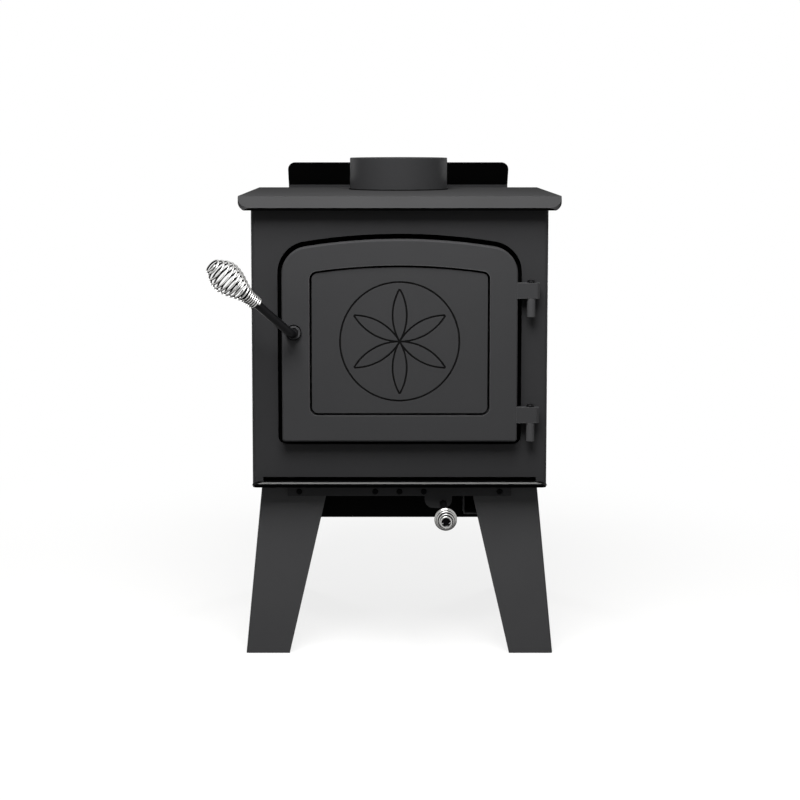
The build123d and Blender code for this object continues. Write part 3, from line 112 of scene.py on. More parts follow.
class Body(Enum):
    """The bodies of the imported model."""

    STOVE = "stove_body"
    DOOR = "door"
    LATCH = "latch"
    AIR = "air_control"


# Points, colours and nodes


def spot(x: float, y: float, z: float) -> Vector:
    """Returns a point of the stove's frame in metres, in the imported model's frame."""
    return (Vector((x, y, z)) + FRAME_SHIFT) * MM


def linear(code: str) -> Colour:
    """Turns an sRGB hex value into a linear colour, with the numbers of the sRGB standard.

    Args:
        code: The colour as "#rrggbb".

    Returns:
        Red, green, blue and an alpha of 1.
    """
    parts = [int(code[i:i + 2], 16) / 255 for i in (1, 3, 5)]
    low = [part / 12.92 if part <= 0.04045 else ((part + 0.055) / 1.055) ** 2.4 for part in parts]
    return (low[0], low[1], low[2], 1.0)


def per_mm(size: float) -> float:
    """Returns the texture scale of a pattern that repeats about every size millimetres."""
    return 1.0 / (size * MM)


def add_node(tree: bpy.types.NodeTree, kind: str, inputs: dict[str | int, Any] | None = None,
             **settings: Any) -> bpy.types.Node:
    """Adds a node with its settings and links.

    Args:
        tree: The node tree that gets the node.
        kind: The node's type.
        inputs: A socket to link or a value to set, for each input by name or number.
        **settings: The node's own properties.

    Returns:
        The new node.
    """
    made = tree.nodes.new(kind)
    for name, value in settings.items():
        setattr(made, name, value)
    for key, value in (inputs or {}).items():
        if isinstance(value, bpy.types.NodeSocket):
            tree.links.new(value, made.inputs[key])
        else:
            made.inputs[key].default_value = value
    return made


def new_material(name: str) -> bpy.types.Material:
    """Makes a material without nodes.

    Args:
        name: The material's name.

    Returns:
        The material.
    """
    material = bpy.data.materials.new(name)
    material.use_nodes = True
    material.node_tree.nodes.clear()
    return material


def direct_rays(tree: bpy.types.NodeTree) -> bpy.types.NodeSocket:
    """Picks out the rays that come from the camera, a reflection or a see-through face.

    Args:
        tree: The node tree that gets the nodes.

    Returns:
        A socket that is 1 for such a ray and 0 for any other.
    """
    path = add_node(tree, "ShaderNodeLightPath").outputs
    seen = path["Is Camera Ray"]
    for kind in ("Is Glossy Ray", "Is Transmission Ray"):
        seen = add_node(tree, "ShaderNodeMath", {0: seen, 1: path[kind]}, operation="MAXIMUM").outputs[0]
    return seen


# Finishes


@dataclass(frozen=True)
class StovePaint:
    """High-temperature matt paint, sprayed in a thin coat and baked on the first fire.

    It gives the eye a dull charcoal with a fine dry grain, slight clouds where the coat is thinner, and a
    faint polish along the edges that hands and tools touch. The lighter edges also stand in for the
    highlights
    that rounded edges catch: a painted highlight, strongest on the door casting.
    """

    name: str
    colour: str
    cloud_colour: str
    edge_colour: str
    roughness: tuple[float, float]
    specular: float
    grain_mm: float
    grain_depth_mm: float
    cloud_mm: float = 120.0
    edge_mm: float = 1.4
    edge_share: float = 0.35

    def material(self) -> bpy.types.Material:
        """Builds the paint.

        Returns:
            Its material.
        """
        material = new_material(self.name)
        tree = material.node_tree
        place = add_node(tree, "ShaderNodeTexCoord").outputs["Object"]
        cloud = add_node(tree, "ShaderNodeTexNoise", {
            "Vector": place, "Scale": per_mm(self.cloud_mm), "Detail": 4.0, "Roughness": 0.55}).outputs[0]
        grain = add_node(tree, "ShaderNodeTexNoise", {
            "Vector": place, "Scale": per_mm(self.grain_mm), "Detail": 3.0, "Roughness": 0.65}).outputs[0]
        coat = add_node(tree, "ShaderNodeMix", {
            SHARE: cloud, COLOUR_A: linear(self.colour), COLOUR_B: linear(self.cloud_colour)},
            data_type="RGBA").outputs[COLOUR_OUT]
        rounded = add_node(tree, "ShaderNodeBevel", {"Radius": self.edge_mm * MM}, samples=4).outputs[0]
        straight = add_node(tree, "ShaderNodeNewGeometry").outputs["Normal"]
        across = add_node(tree, "ShaderNodeVectorMath", {
            0: rounded, 1: straight}, operation="DOT_PRODUCT").outputs["Value"]
        # Lighter edges: wear, and a painted highlight along every rounded edge.
        worn = add_node(tree, "ShaderNodeMapRange", {
            "Value": across, "From Min": 0.995, "From Max": 0.86,
            "To Min": 0.0, "To Max": self.edge_share}).outputs[0]
        patchy = add_node(tree, "ShaderNodeMath", {0: worn, 1: cloud}, operation="MULTIPLY").outputs[0]
        colour = add_node(tree, "ShaderNodeMix", {
            SHARE: patchy, COLOUR_A: coat, COLOUR_B: linear(self.edge_colour)},
            data_type="RGBA").outputs[COLOUR_OUT]
        dullness = add_node(tree, "ShaderNodeMapRange", {
            "Value": grain, "From Min": 0.3, "From Max": 0.7,
            "To Min": self.roughness[0], "To Max": self.roughness[1]}).outputs[0]
        relief = add_node(tree, "ShaderNodeBump", {
            "Height": grain, "Distance": self.grain_depth_mm * MM, "Strength": 1.0}).outputs[0]
        shader = add_node(tree, "ShaderNodeBsdfPrincipled", {
            "Base Color": colour, "Roughness": dullness, "Normal": relief,
            "Specular IOR Level": self.specular, "IOR": 1.5})
        add_node(tree, "ShaderNodeOutputMaterial", {"Surface": shader.outputs[0]})
        return material


@dataclass(frozen=True)
class WorkedMetal:
    """Bare, blackened or cast metal, with the marks that its making left.

    It gives the eye a metal sheen that changes along fine rolling or casting marks, with darker stains.
    """

    name: str
    colour: str
    stain_colour: str
    roughness: tuple[float, float]
    mark_mm: float
    mark_depth_mm: float
    stain_mm: float
    metallic: float = 1.0
    specular: float = 0.5
    stretch: tuple[float, float, float] = (1.0, 1.0, 1.0)

    def material(self) -> bpy.types.Material:
        """Builds the metal.

        Returns:
            Its material.
        """
        material = new_material(self.name)
        tree = material.node_tree
        place = add_node(tree, "ShaderNodeTexCoord").outputs["Object"]
        drawn = add_node(tree, "ShaderNodeVectorMath", {
            0: place, 1: self.stretch}, operation="MULTIPLY").outputs[0]
        marks = add_node(tree, "ShaderNodeTexNoise", {
            "Vector": drawn, "Scale": per_mm(self.mark_mm), "Detail": 3.0}).outputs[0]
        stains = add_node(tree, "ShaderNodeTexNoise", {
            "Vector": place, "Scale": per_mm(self.stain_mm), "Detail": 5.0, "Roughness": 0.6}).outputs[0]
        depth = add_node(tree, "ShaderNodeMapRange", {
            "Value": stains, "From Min": 0.42, "From Max": 0.7}).outputs[0]
        colour = add_node(tree, "ShaderNodeMix", {
            SHARE: depth, COLOUR_A: linear(self.colour), COLOUR_B: linear(self.stain_colour)},
            data_type="RGBA").outputs[COLOUR_OUT]
        dullness = add_node(tree, "ShaderNodeMapRange", {
            "Value": marks, "From Min": 0.3, "From Max": 0.7,
            "To Min": self.roughness[0], "To Max": self.roughness[1]}).outputs[0]
        relief = add_node(tree, "ShaderNodeBump", {
            "Height": marks, "Distance": self.mark_depth_mm * MM, "Strength": 1.0}).outputs[0]
        shader = add_node(tree, "ShaderNodeBsdfPrincipled", {
            "Base Color": colour, "Roughness": dullness, "Normal": relief, "Metallic": self.metallic,
            "Specular IOR Level": self.specular})
        add_node(tree, "ShaderNodeOutputMaterial", {"Surface": shader.outputs[0]})
        return material


@dataclass(frozen=True)
class PlatedWire:
    """Nickel-plated spring wire, drawn through a die and plated bright.

    It gives the eye a bright grey metal with fine lines along the wire. Hands keep the outer side and the
    side towards the tip bright. A dark coat lies on the inner side, between the turns and underneath:
    sooting between the turns, and beyond that painted shade and painted dark reflections. The coat also
    covers the wire up to neck_mm of its length and spares its underside beyond polish_mm. Where a wire has
    no such stretch, these lengths lie off its ends.
    """

    name: str
    colour: str
    tarnish_colour: str
    soot_and_shade_colour: str
    roughness: tuple[float, float]
    round_mm: float
    line_mm: float
    line_long_mm: float
    line_depth_mm: float
    tarnish_mm: float
    soot_and_shade_middle: float = 0.35
    soot_and_shade_reach: tuple[float, float] = (0.3, 0.34)
    under_reach: tuple[float, float] = (0.1, -0.8)
    neck_mm: tuple[float, float] = (-2.0, -1.0)
    polish_mm: tuple[float, float] = (9000.0, 9010.0)
    soot_and_shade_roughness: float = 0.8

    def material(self) -> bpy.types.Material:
        """Builds the plating.

        Returns:
            Its material.
        """
        material = new_material(self.name)
        tree = material.node_tree
        along = add_node(tree, "ShaderNodeUVMap").outputs[0]
        stretch = (1.0 / self.line_long_mm, self.round_mm / self.line_mm, 1.0)
        stretched = add_node(tree, "ShaderNodeVectorMath", {
            0: along, 1: stretch}, operation="MULTIPLY").outputs[0]
        lines = add_node(tree, "ShaderNodeTexNoise", {
            "Vector": stretched, "Scale": 1.0, "Detail": 2.0}).outputs[0]
        place = add_node(tree, "ShaderNodeTexCoord").outputs["Object"]
        stains = add_node(tree, "ShaderNodeTexNoise", {
            "Vector": place, "Scale": per_mm(self.tarnish_mm), "Detail": 4.0}).outputs[0]
        bright = add_node(tree, "ShaderNodeMix", {
            SHARE: stains, COLOUR_A: linear(self.colour), COLOUR_B: linear(self.tarnish_colour)},
            data_type="RGBA").outputs[COLOUR_OUT]
        length, way_round, _ = add_node(tree, "ShaderNodeSeparateXYZ", {0: along}).outputs
        # Painted shade and painted dark reflections, with sooting between the turns: a dark band round the
        # inner side of the wire, on its underside and over its neck.
        off = add_node(tree, "ShaderNodeMath", {
            0: way_round, 1: self.soot_and_shade_middle}, operation="SUBTRACT").outputs[0]
        off = add_node(tree, "ShaderNodeMath", {0: off, 1: HALF_ROUND}, operation="PINGPONG").outputs[0]
        inner = add_node(tree, "ShaderNodeMapRange", {
            "Value": off, "From Min": self.soot_and_shade_reach[0], "From Max": self.soot_and_shade_reach[1],
            "To Min": 1.0, "To Max": 0.0}, interpolation_type="SMOOTHSTEP").outputs[0]
        facing = add_node(tree, "ShaderNodeTexCoord").outputs["Normal"]
        upward = add_node(tree, "ShaderNodeSeparateXYZ", {0: facing}).outputs["Z"]
        under = add_node(tree, "ShaderNodeMapRange", {
            "Value": upward, "From Min": self.under_reach[0], "From Max": self.under_reach[1],
            "To Min": 0.0, "To Max": 1.0}, interpolation_type="SMOOTHSTEP").outputs[0]
        unpolished = add_node(tree, "ShaderNodeMapRange", {
            "Value": length, "From Min": self.polish_mm[0], "From Max": self.polish_mm[1],
            "To Min": 1.0, "To Max": 0.0}).outputs[0]
        under = add_node(tree, "ShaderNodeMath", {0: under, 1: unpolished}, operation="MULTIPLY").outputs[0]
        soot_and_shade = add_node(tree, "ShaderNodeMath", {0: inner, 1: under}, operation="MAXIMUM").outputs[0]
        neck = add_node(tree, "ShaderNodeMapRange", {
            "Value": length, "From Min": self.neck_mm[0], "From Max": self.neck_mm[1],
            "To Min": 1.0, "To Max": 0.0}).outputs[0]
        soot_and_shade = add_node(tree, "ShaderNodeMath", {0: soot_and_shade, 1: neck}, operation="MAXIMUM").outputs[0]
        colour = add_node(tree, "ShaderNodeMix", {
            SHARE: soot_and_shade, COLOUR_A: bright, COLOUR_B: linear(self.soot_and_shade_colour)},
            data_type="RGBA").outputs[COLOUR_OUT]
        dullness = add_node(tree, "ShaderNodeMapRange", {
            "Value": lines, "From Min": 0.3, "From Max": 0.7,
            "To Min": self.roughness[0], "To Max": self.roughness[1]}).outputs[0]
        dullness = add_node(tree, "ShaderNodeMix", {
            SHARE: soot_and_shade, VALUE_A: dullness, VALUE_B: self.soot_and_shade_roughness}).outputs[0]
        bare = add_node(tree, "ShaderNodeMath", {0: 1.0, 1: soot_and_shade}, operation="SUBTRACT").outputs[0]
        relief = add_node(tree, "ShaderNodeBump", {
            "Height": lines, "Distance": self.line_depth_mm * MM, "Strength": 0.6}).outputs[0]
        shader = add_node(tree, "ShaderNodeBsdfPrincipled", {
            "Base Color": colour, "Roughness": dullness, "Normal": relief, "Metallic": bare,
            "Specular IOR Level": 0.1})
        add_node(tree, "ShaderNodeOutputMaterial", {"Surface": shader.outputs[0]})
        return material


@dataclass(frozen=True)
class PressedMineral:
    """Firebrick or vermiculite board, pressed from grains and fired or cured.

    It gives the eye a dry granular face with pits, flecks of a second colour and grey smoke stains.
    """

    name: str
    colour: str
    fleck_colour: str
    stain_colour: str
    fleck_mm: float
    pit_mm: float
    pit_depth_mm: float
    stain_mm: float

    def material(self) -> bpy.types.Material:
        """Builds the mineral.

        Returns:
            Its material.
        """
        material = new_material(self.name)
        tree = material.node_tree
        place = add_node(tree, "ShaderNodeTexCoord").outputs["Object"]
        grains = add_node(tree, "ShaderNodeTexVoronoi", {
            "Vector": place, "Scale": per_mm(self.fleck_mm)}).outputs["Distance"]
        pits = add_node(tree, "ShaderNodeTexNoise", {
            "Vector": place, "Scale": per_mm(self.pit_mm), "Detail": 5.0, "Roughness": 0.7}).outputs[0]
        smoke = add_node(tree, "ShaderNodeTexNoise", {
            "Vector": place, "Scale": per_mm(self.stain_mm), "Detail": 4.0}).outputs[0]
        flecks = add_node(tree, "ShaderNodeMapRange", {
            "Value": grains, "From Min": 0.2, "From Max": 0.6}).outputs[0]
        face = add_node(tree, "ShaderNodeMix", {
            SHARE: flecks, COLOUR_A: linear(self.fleck_colour), COLOUR_B: linear(self.colour)},
            data_type="RGBA").outputs[COLOUR_OUT]
        smoked = add_node(tree, "ShaderNodeMapRange", {
            "Value": smoke, "From Min": 0.45, "From Max": 0.75}).outputs[0]
        colour = add_node(tree, "ShaderNodeMix", {
            SHARE: smoked, COLOUR_A: face, COLOUR_B: linear(self.stain_colour)},
            data_type="RGBA").outputs[COLOUR_OUT]
        relief = add_node(tree, "ShaderNodeBump", {
            "Height": pits, "Distance": self.pit_depth_mm * MM, "Strength": 1.0}).outputs[0]
        dullness = add_node(tree, "ShaderNodeMapRange", {
            "Value": pits, "To Min": 0.82, "To Max": 0.98}).outputs[0]
        shader = add_node(tree, "ShaderNodeBsdfPrincipled", {
            "Base Color": colour, "Roughness": dullness, "Normal": relief, "Specular IOR Level": 0.25})
        add_node(tree, "ShaderNodeOutputMaterial", {"Surface": shader.outputs[0]})
        return material


@dataclass(frozen=True)
class GlassRope:
    """Fibreglass rope, knitted from graphite-treated yarn.

    It gives the eye a dark grey fibre with a faint sheen, pale broken filaments and fine yarn lines.
    """

    name: str
    colour: str
    fibre_colour: str
    yarn_mm: float
    yarn_depth_mm: float

    def material(self) -> bpy.types.Material:
        """Builds the rope.

        Returns:
            Its material.
        """
        material = new_material(self.name)
        tree = material.node_tree
        place = add_node(tree, "ShaderNodeTexCoord").outputs["Object"]
        yarn = add_node(tree, "ShaderNodeTexNoise", {
            "Vector": place, "Scale": per_mm(self.yarn_mm), "Detail": 4.0, "Roughness": 0.7}).outputs[0]
        broken = add_node(tree, "ShaderNodeMapRange", {
            "Value": yarn, "From Min": 0.45, "From Max": 0.75}).outputs[0]
        colour = add_node(tree, "ShaderNodeMix", {
            SHARE: broken, COLOUR_A: linear(self.colour), COLOUR_B: linear(self.fibre_colour)},
            data_type="RGBA").outputs[COLOUR_OUT]
        relief = add_node(tree, "ShaderNodeBump", {
            "Height": yarn, "Distance": self.yarn_depth_mm * MM, "Strength": 1.0}).outputs[0]
        dullness = add_node(tree, "ShaderNodeMapRange", {
            "Value": yarn, "To Min": 0.7, "To Max": 0.9}).outputs[0]
        shader = add_node(tree, "ShaderNodeBsdfPrincipled", {
            "Base Color": colour, "Roughness": dullness, "Normal": relief, "Sheen Weight": 0.25})
        add_node(tree, "ShaderNodeOutputMaterial", {"Surface": shader.outputs[0]})
        return material


FINISHES = {
    # Sprayed sheet and plate: a grit of about half a millimetre is drawn at 0.9 mm so that it shows.
    Look.PAINTED_STEEL: StovePaint(
        "high_temperature_paint_on_steel", "#2d2d2e", "#313132", "#515152",
        roughness=(0.5, 0.62), specular=0.04, grain_mm=0.9, grain_depth_mm=0.025),
    Look.PAINTED_FITTING: StovePaint(
        "high_temperature_paint_on_fittings", "#3e3e3f", "#444445", "#5d5d5e",
        roughness=(0.5, 0.62), specular=0.04, grain_mm=0.9, grain_depth_mm=0.025),
    # The ash lip's turned-up edge: lighter paint on the faces that look up and forward, a painted
    # highlight.
    Look.HIGHLIGHTED_LIP: StovePaint(
        "painted_highlight_along_the_ash_lip", "#595959", "#636362", "#6c6c6b",
        roughness=(0.45, 0.58), specular=0.05, grain_mm=0.9, grain_depth_mm=0.025),
    # Painted shade: near-black paint on the seal frame, the ash lip and the front below it, which lie in
    # shadow.
    Look.SHADED_STEEL: StovePaint(
        "painted_shade_on_steel", "#060606", "#0a0a0a", "#161616",
        roughness=(0.75, 0.9), specular=0.01, grain_mm=1.2, grain_depth_mm=0.04),
    Look.PAINTED_TOP: StovePaint(
        "high_temperature_paint_on_plate", "#393939", "#3e3e3f", "#606061",
        roughness=(0.6, 0.72), specular=0.0, grain_mm=0.9, grain_depth_mm=0.025),
    # Painted shade: near-black paint on the top plate's underside and on the weld at the foot of the
    # collar.
    Look.SHADED_TOP: StovePaint(
        "painted_shade_on_plate", "#0a0a0a", "#0e0e0e", "#181818",
        roughness=(0.75, 0.9), specular=0.0, grain_mm=1.2, grain_depth_mm=0.04),
    # Sand casting under the paint: the sand's grain stays as a coarser, softer relief. All its edges are
    # lightened: a painted highlight along the rounded edges, with the paint's wear.
    Look.PAINTED_CAST_IRON: StovePaint(
        "high_temperature_paint_on_cast_iron", "#333334", "#383839", "#6c6c6d",
        roughness=(0.5, 0.64), specular=0.06, grain_mm=1.5, grain_depth_mm=0.06, edge_mm=1.6,
        edge_share=1.0),
    Look.PAINTED_PANEL: StovePaint(
        "high_temperature_paint_on_cast_panel", "#323233", "#373738", "#454546",
        roughness=(0.5, 0.64), specular=0.06, grain_mm=1.5, grain_depth_mm=0.06),
    # Sooting on the side towards the fire, and painted shade: near-black paint in the grooves and the
    # engraved lines.
    Look.SOOTED_AND_SHADED_CAST_IRON: StovePaint(
        "soot_and_painted_shade_on_cast_iron", "#0c0c0c", "#111111", "#1c1b1b",
        roughness=(0.75, 0.9), specular=0.02, grain_mm=1.5, grain_depth_mm=0.06),
    Look.SHIELD_SHEET: StovePaint(
        "matt_black_paint_on_thin_sheet", "#2b2b2c", "#2f2f30", "#454546",
        roughness=(0.7, 0.8), specular=0.02, grain_mm=0.9, grain_depth_mm=0.02),
    # Painted shade: near-black paint on the deflector's faces that look forward and down, and on the tray.
    Look.SHADED_SHEET: StovePaint(
        "painted_shade_on_thin_sheet", "#080808", "#0b0b0b", "#1c1c1d",
        roughness=(0.7, 0.8), specular=0.01, grain_mm=0.9, grain_depth_mm=0.02),
    # Sand-cast iron without paint: dark grey with rusty stains and a sandy relief.
    Look.BARE_CAST_IRON: WorkedMetal(
        "bare_sand_cast_iron", "#5a5754", "#3a332d",
        roughness=(0.5, 0.7), mark_mm=1.4, mark_depth_mm=0.08, stain_mm=30.0, metallic=0.75),
    # Turned steel, blackened in a bath: almost black, with a satin gloss.
    Look.BLACK_OXIDE_STEEL: WorkedMetal(
        "black_oxide_on_turned_steel", "#0f0f10", "#0c0c0d",
        roughness=(0.26, 0.34), mark_mm=0.8, mark_depth_mm=0.012, stain_mm=25.0, metallic=0.0,
        specular=0.07),
    # Painted shade: the same, near black and dull, on the control rod, the valance screws and the bushing's
    # groove and bore.
    Look.SHADED_OXIDE: WorkedMetal(
        "painted_shade_on_black_oxide", "#0a0a0b", "#080808",
        roughness=(0.5, 0.6), mark_mm=0.8, mark_depth_mm=0.012, stain_mm=25.0, metallic=0.0, specular=0.02),
    # The same where the handle rubs: a worn dark grey.
    Look.BUSHING_STEEL: WorkedMetal(
        "worn_black_oxide_on_bushing", "#404041", "#38383a",
        roughness=(0.4, 0.5), mark_mm=0.8, mark_depth_mm=0.012, stain_mm=25.0, metallic=0.0, specular=0.06),
    # Rolled steel without paint: grey, with brownish stains and marks along the rolling.
    Look.BARE_STEEL: WorkedMetal(
        "bare_rolled_steel", "#98948e", "#6d655c",
        roughness=(0.3, 0.46), mark_mm=0.7, mark_depth_mm=0.01, stain_mm=35.0, stretch=(1.0, 0.12, 1.0)),
    # The door's grip: plated wire that hands keep bright on its outer side; its inner side carries sooting,
    # painted shade and painted dark reflections. Its lines are drawn at 0.5 mm so that they show.
    Look.NICKEL_WIRE: PlatedWire(
        "nickel_plated_spring_wire", "#d2d2d1", "#b8b7b4", "#080808", roughness=(0.24, 0.34),
        round_mm=9.4, line_mm=0.5, line_long_mm=14.0, line_depth_mm=0.006, tarnish_mm=18.0),
    # The air control's grip: the same plating, darker all over as painted shade for its place under the
    # stove, and coated dark at its neck with sooting and painted shade.
    Look.SOOTED_AND_SHADED_NICKEL_WIRE: PlatedWire(
        "sooted_and_shaded_nickel_wire", "#b6b6b5", "#9c9b98", "#181717", roughness=(0.18, 0.32),
        round_mm=8.8, line_mm=0.5, line_long_mm=14.0, line_depth_mm=0.006, tarnish_mm=18.0,
        soot_and_shade_middle=0.385, soot_and_shade_reach=(0.25, 0.3), under_reach=(0.15, -0.45), neck_mm=(300.0, 440.0),
        polish_mm=(824.0, 832.0)),
    # Pressed and fired clay: buff with pale grit and smoke stains.
    Look.FIREBRICK: PressedMineral(
        "pressed_firebrick", "#b99a70", "#d0b78f", "#857461",
        fleck_mm=3.0, pit_mm=1.6, pit_depth_mm=0.25, stain_mm=70.0),
    # Pressed vermiculite: a soft board of dull golden flakes.
    Look.VERMICULITE: PressedMineral(
        "pressed_vermiculite_board", "#a99a7c", "#c8b98f", "#8c8170",
        fleck_mm=4.5, pit_mm=2.2, pit_depth_mm=0.3, stain_mm=90.0),
    Look.FIBREGLASS_ROPE: GlassRope(
        "knitted_fibreglass_rope", "#3b3937", "#6e6b66", yarn_mm=0.5, yarn_depth_mm=0.15),
}


# Meshes


def soften(mesh: bpy.types.Mesh, limit: float = 32.0) -> None:
    """Shades a mesh smooth, apart from its sharp edges.

    Args:
        mesh: The mesh.
        limit: Edges that turn by more than this many degrees stay sharp.
    """
    shape = bmesh.new()
    shape.from_mesh(mesh)
    for face in shape.faces:
        face.smooth = True
    for edge in shape.edges:
        edge.smooth = len(edge.link_faces) == 2 and edge.calc_face_angle() < math.radians(limit)
    shape.to_mesh(mesh)
    shape.free()


def rounded_copy(node: str, edge_mm: float, segments: int, flat_degrees: float = 0.2,
                 sharp_degrees: float = 32.0, merge_mm: float = 0.004) -> bpy.types.Mesh:
    """Copies a CAD node's mesh, joins its flat faces and rounds its sharp edges.

    Args:
        node: The CAD node.
        edge_mm: How far the rounding reaches from each edge.
        segments: How many strips each rounding has.
        flat_degrees: Faces that turn by less than this are joined.
        sharp_degrees: Edges that turn by more than this are rounded.
        merge_mm: Corners that lie closer than this become one.

    Returns:
        The new mesh.
    """
    shape = bmesh.new()
    shape.from_mesh(bpy.data.objects[node].data)
    bmesh.ops.remove_doubles(shape, verts=shape.verts, dist=merge_mm * MM)
    bmesh.ops.dissolve_limit(
        shape, angle_limit=math.radians(flat_degrees), verts=shape.verts, edges=shape.edges)
    sharp = [edge for edge in shape.edges
             if len(edge.link_faces) == 2 and edge.calc_face_angle() > math.radians(sharp_degrees)]
    bmesh.ops.bevel(
        shape, geom=sharp, offset=edge_mm * MM, offset_type="OFFSET", segments=segments, profile=0.5,
        affect="EDGES", clamp_overlap=True, loop_slide=True)
    bmesh.ops.recalc_face_normals(shape, faces=shape.faces)
    mesh = bpy.data.meshes.new(node + "_mesh")
    shape.to_mesh(mesh)
    shape.free()
    soften(mesh)
    return mesh


def path_frames(points: Sequence[Vector], closed: bool,
                outward: Sequence[Vector] | None) -> list[tuple[Vector, Vector]]:
    """Carries a side and an up direction along a path without twisting them.

    Args:
        points: The path.
        closed: Whether its end joins its start.
        outward: The side direction near each point, if it is given.

    Returns:
        The side and up directions at each point.
    """
    count = len(points)
    ways = []
    for i in range(count):
        before = points[(i - 1) % count] if closed or i else points[i]
        after = points[(i + 1) % count] if closed or i < count - 1 else points[i]
        ways.append((after - before).normalized())
    if outward:
        sides = [(out - way * out.dot(way)).normalized() for out, way in zip(outward, ways)]
        return [(side, way.cross(side)) for side, way in zip(sides, ways)]
    side = ways[0].orthogonal().normalized()
    sides = [side]
    for last, way in zip(ways, ways[1:]):
        side = last.rotation_difference(way) @ side
        sides.append((side - way * side.dot(way)).normalized())
    turn = 0.0
    if closed:
        end = ways[-1].rotation_difference(ways[0]) @ sides[-1]
        turn = math.atan2(end.cross(sides[0]).dot(ways[0]), end.dot(sides[0]))
    frames = []
    for i, (way, side) in enumerate(zip(ways, sides)):
        side = Matrix.Rotation(turn * i / count, 3, way) @ side
        frames.append((side, way.cross(side)))
    return frames


def tube(name: str, points: Sequence[Vector], radius: Callable[[int], float], sides: int, closed: bool,
         outward: Sequence[Vector] | None = None, dome_rings: int = 3,
         closing_mm: float = 1.0) -> bpy.types.Mesh:
    """Builds a tube along a path, with domed ends where it is open.

    Args:
        name: The mesh's name.
        points: The path, in metres.
        radius: The radius at each point's number, in metres.
        sides: How many sides the tube has.
        closed: Whether the path's end joins its start.
        outward: The way in which the first side of each ring lies, where that matters.
        dome_rings: How many rings each domed end has.
        closing_mm: The length that the UV map gives to the last stretch of a closed path.

    Returns:
        The mesh. Its UV map holds the length in millimetres and the share of the way round.
    """
    frames = path_frames(points, closed, outward)
    rings = [(point, frame, radius(i)) for i, (point, frame) in enumerate(zip(points, frames))]
    if not closed:
        for end, way in ((0, -1), (-1, 1)):
            point, frame, size = rings[end]
            ahead = frame[0].cross(frame[1]) * way
            extra = []
            for k in range(1, dome_rings + 1):
                angle = math.pi / 2 * k / (dome_rings + DOME_FLAT)
                extra.append((point + ahead * size * math.sin(angle), frame, size * math.cos(angle)))
            rings = rings + extra if way > 0 else extra[::-1] + rings
    corners = []
    lengths = [0.0]
    for i, (point, (side, up), size) in enumerate(rings):
        if i:
            lengths.append(lengths[-1] + (point - rings[i - 1][0]).length / MM)
        for k in range(sides):
            angle = 2 * math.pi * k / sides
            corners.append(point + (side * math.cos(angle) + up * math.sin(angle)) * size)
    faces = []
    marks = []
    count = len(rings)
    for i in range(count if closed else count - 1):
        after = (i + 1) % count
        far = lengths[after] if after else lengths[-1] + closing_mm
        for k in range(sides):
            nearby = (k + 1) % sides
            faces.append((i * sides + k, i * sides + nearby, after * sides + nearby, after * sides + k))
            low, high = k / sides, (k + 1) / sides
            marks.extend(((lengths[i], low), (lengths[i], high), (far, high), (far, low)))
    if not closed:
        for first, way in ((0, -1), ((count - 1) * sides, 1)):
            loop = tuple(first + k for k in range(sides))
            faces.append(loop if way > 0 else loop[::-1])
            marks.extend((lengths[0 if way < 0 else -1], 0.0) for _ in loop)
    mesh = bpy.data.meshes.new(name)
    mesh.from_pydata([tuple(corner) for corner in corners], [], faces)
    layer = mesh.uv_layers.new(name="UVMap")
    for loop, mark in zip(layer.data, marks):
        loop.uv = mark
    soften(mesh, limit=60.0)
    return mesh


def turned(name: str, places: Sequence[tuple[Vector, Vector]], rings: Sequence[Ring],
           sides: int = 24) -> bpy.types.Mesh:
    """Builds equal turned pieces, such as screws, from rings along their axes.

    Args:
        name: The mesh's name.
        places: Each piece's origin in metres and the way its axis points.
        rings: The radius and height of each ring in millimetres, and whether it is a hexagon whose radius
            is measured across its flats.
        sides: How many corners each ring has, a multiple of 6.

    Returns:
        One mesh of them all.
    """
    corners: list[Vector] = []
    faces: list[tuple[int, ...]] = []
    for origin, way in places:
        side = way.orthogonal().normalized()
        up = way.cross(side)
        first = len(corners)
        for size, height, hexagon in rings:
            for k in range(sides):
                angle = 2 * math.pi * k / sides
                off = (angle % (math.pi / 3)) - math.pi / 6
                reach = size / math.cos(off) if hexagon else size
                flat = side * math.cos(angle) + up * math.sin(angle)
                corners.append(origin + (flat * reach + way * height) * MM)
        for i in range(len(rings) - 1):
            low, high = first + i * sides, first + (i + 1) * sides
            for k in range(sides):
                nearby = (k + 1) % sides
                faces.append((low + k, low + nearby, high + nearby, high + k))
        faces.append(tuple(first + k for k in range(sides))[::-1])
        last = first + (len(rings) - 1) * sides
        faces.append(tuple(last + k for k in range(sides)))
    mesh = bpy.data.meshes.new(name)
    mesh.from_pydata([tuple(corner) for corner in corners], [], faces)
    soften(mesh, limit=35.0)
    return mesh


# A screw's socket: the shares of its radius and of the head's height, and whether the ring is a hexagon.
SOCKET: list[Ring] = [(1.03, 1.0, True), (1.0, 0.95, True), (1.0, 0.35, True), (0.4, 0.25, False)]
# The foot of a bolt's head: the share of its radius, the height in mm, and whether it is a hexagon.
BOLT_FOOT: list[Ring] = [(0.96, 0.0, False), (0.98, 0.25, False), (1.0, 0.4, True)]
# The top of a bolt's head: the shares of its radius and of its height, and whether the ring is a hexagon.
BOLT_TOP: list[Ring] = [(1.0, 0.8, True), (0.97, 1.0, False), (0.6, 1.0, False)]


def shank_rings(shank: float, deep: float, point: float, point_mm: float) -> list[Ring]:
    """Lists the rings of a screw's shank.

    Args:
        shank: The shank's radius.
        deep: Its length.
        point: The share of the radius that is left at its end.
        point_mm: The length of the chamfer there.

    Returns:
        Rings from the shank's end to the seat of the head.
    """
    return [(shank * point, -deep, False), (shank, -deep + point_mm, False), (shank, 0.0, False)]


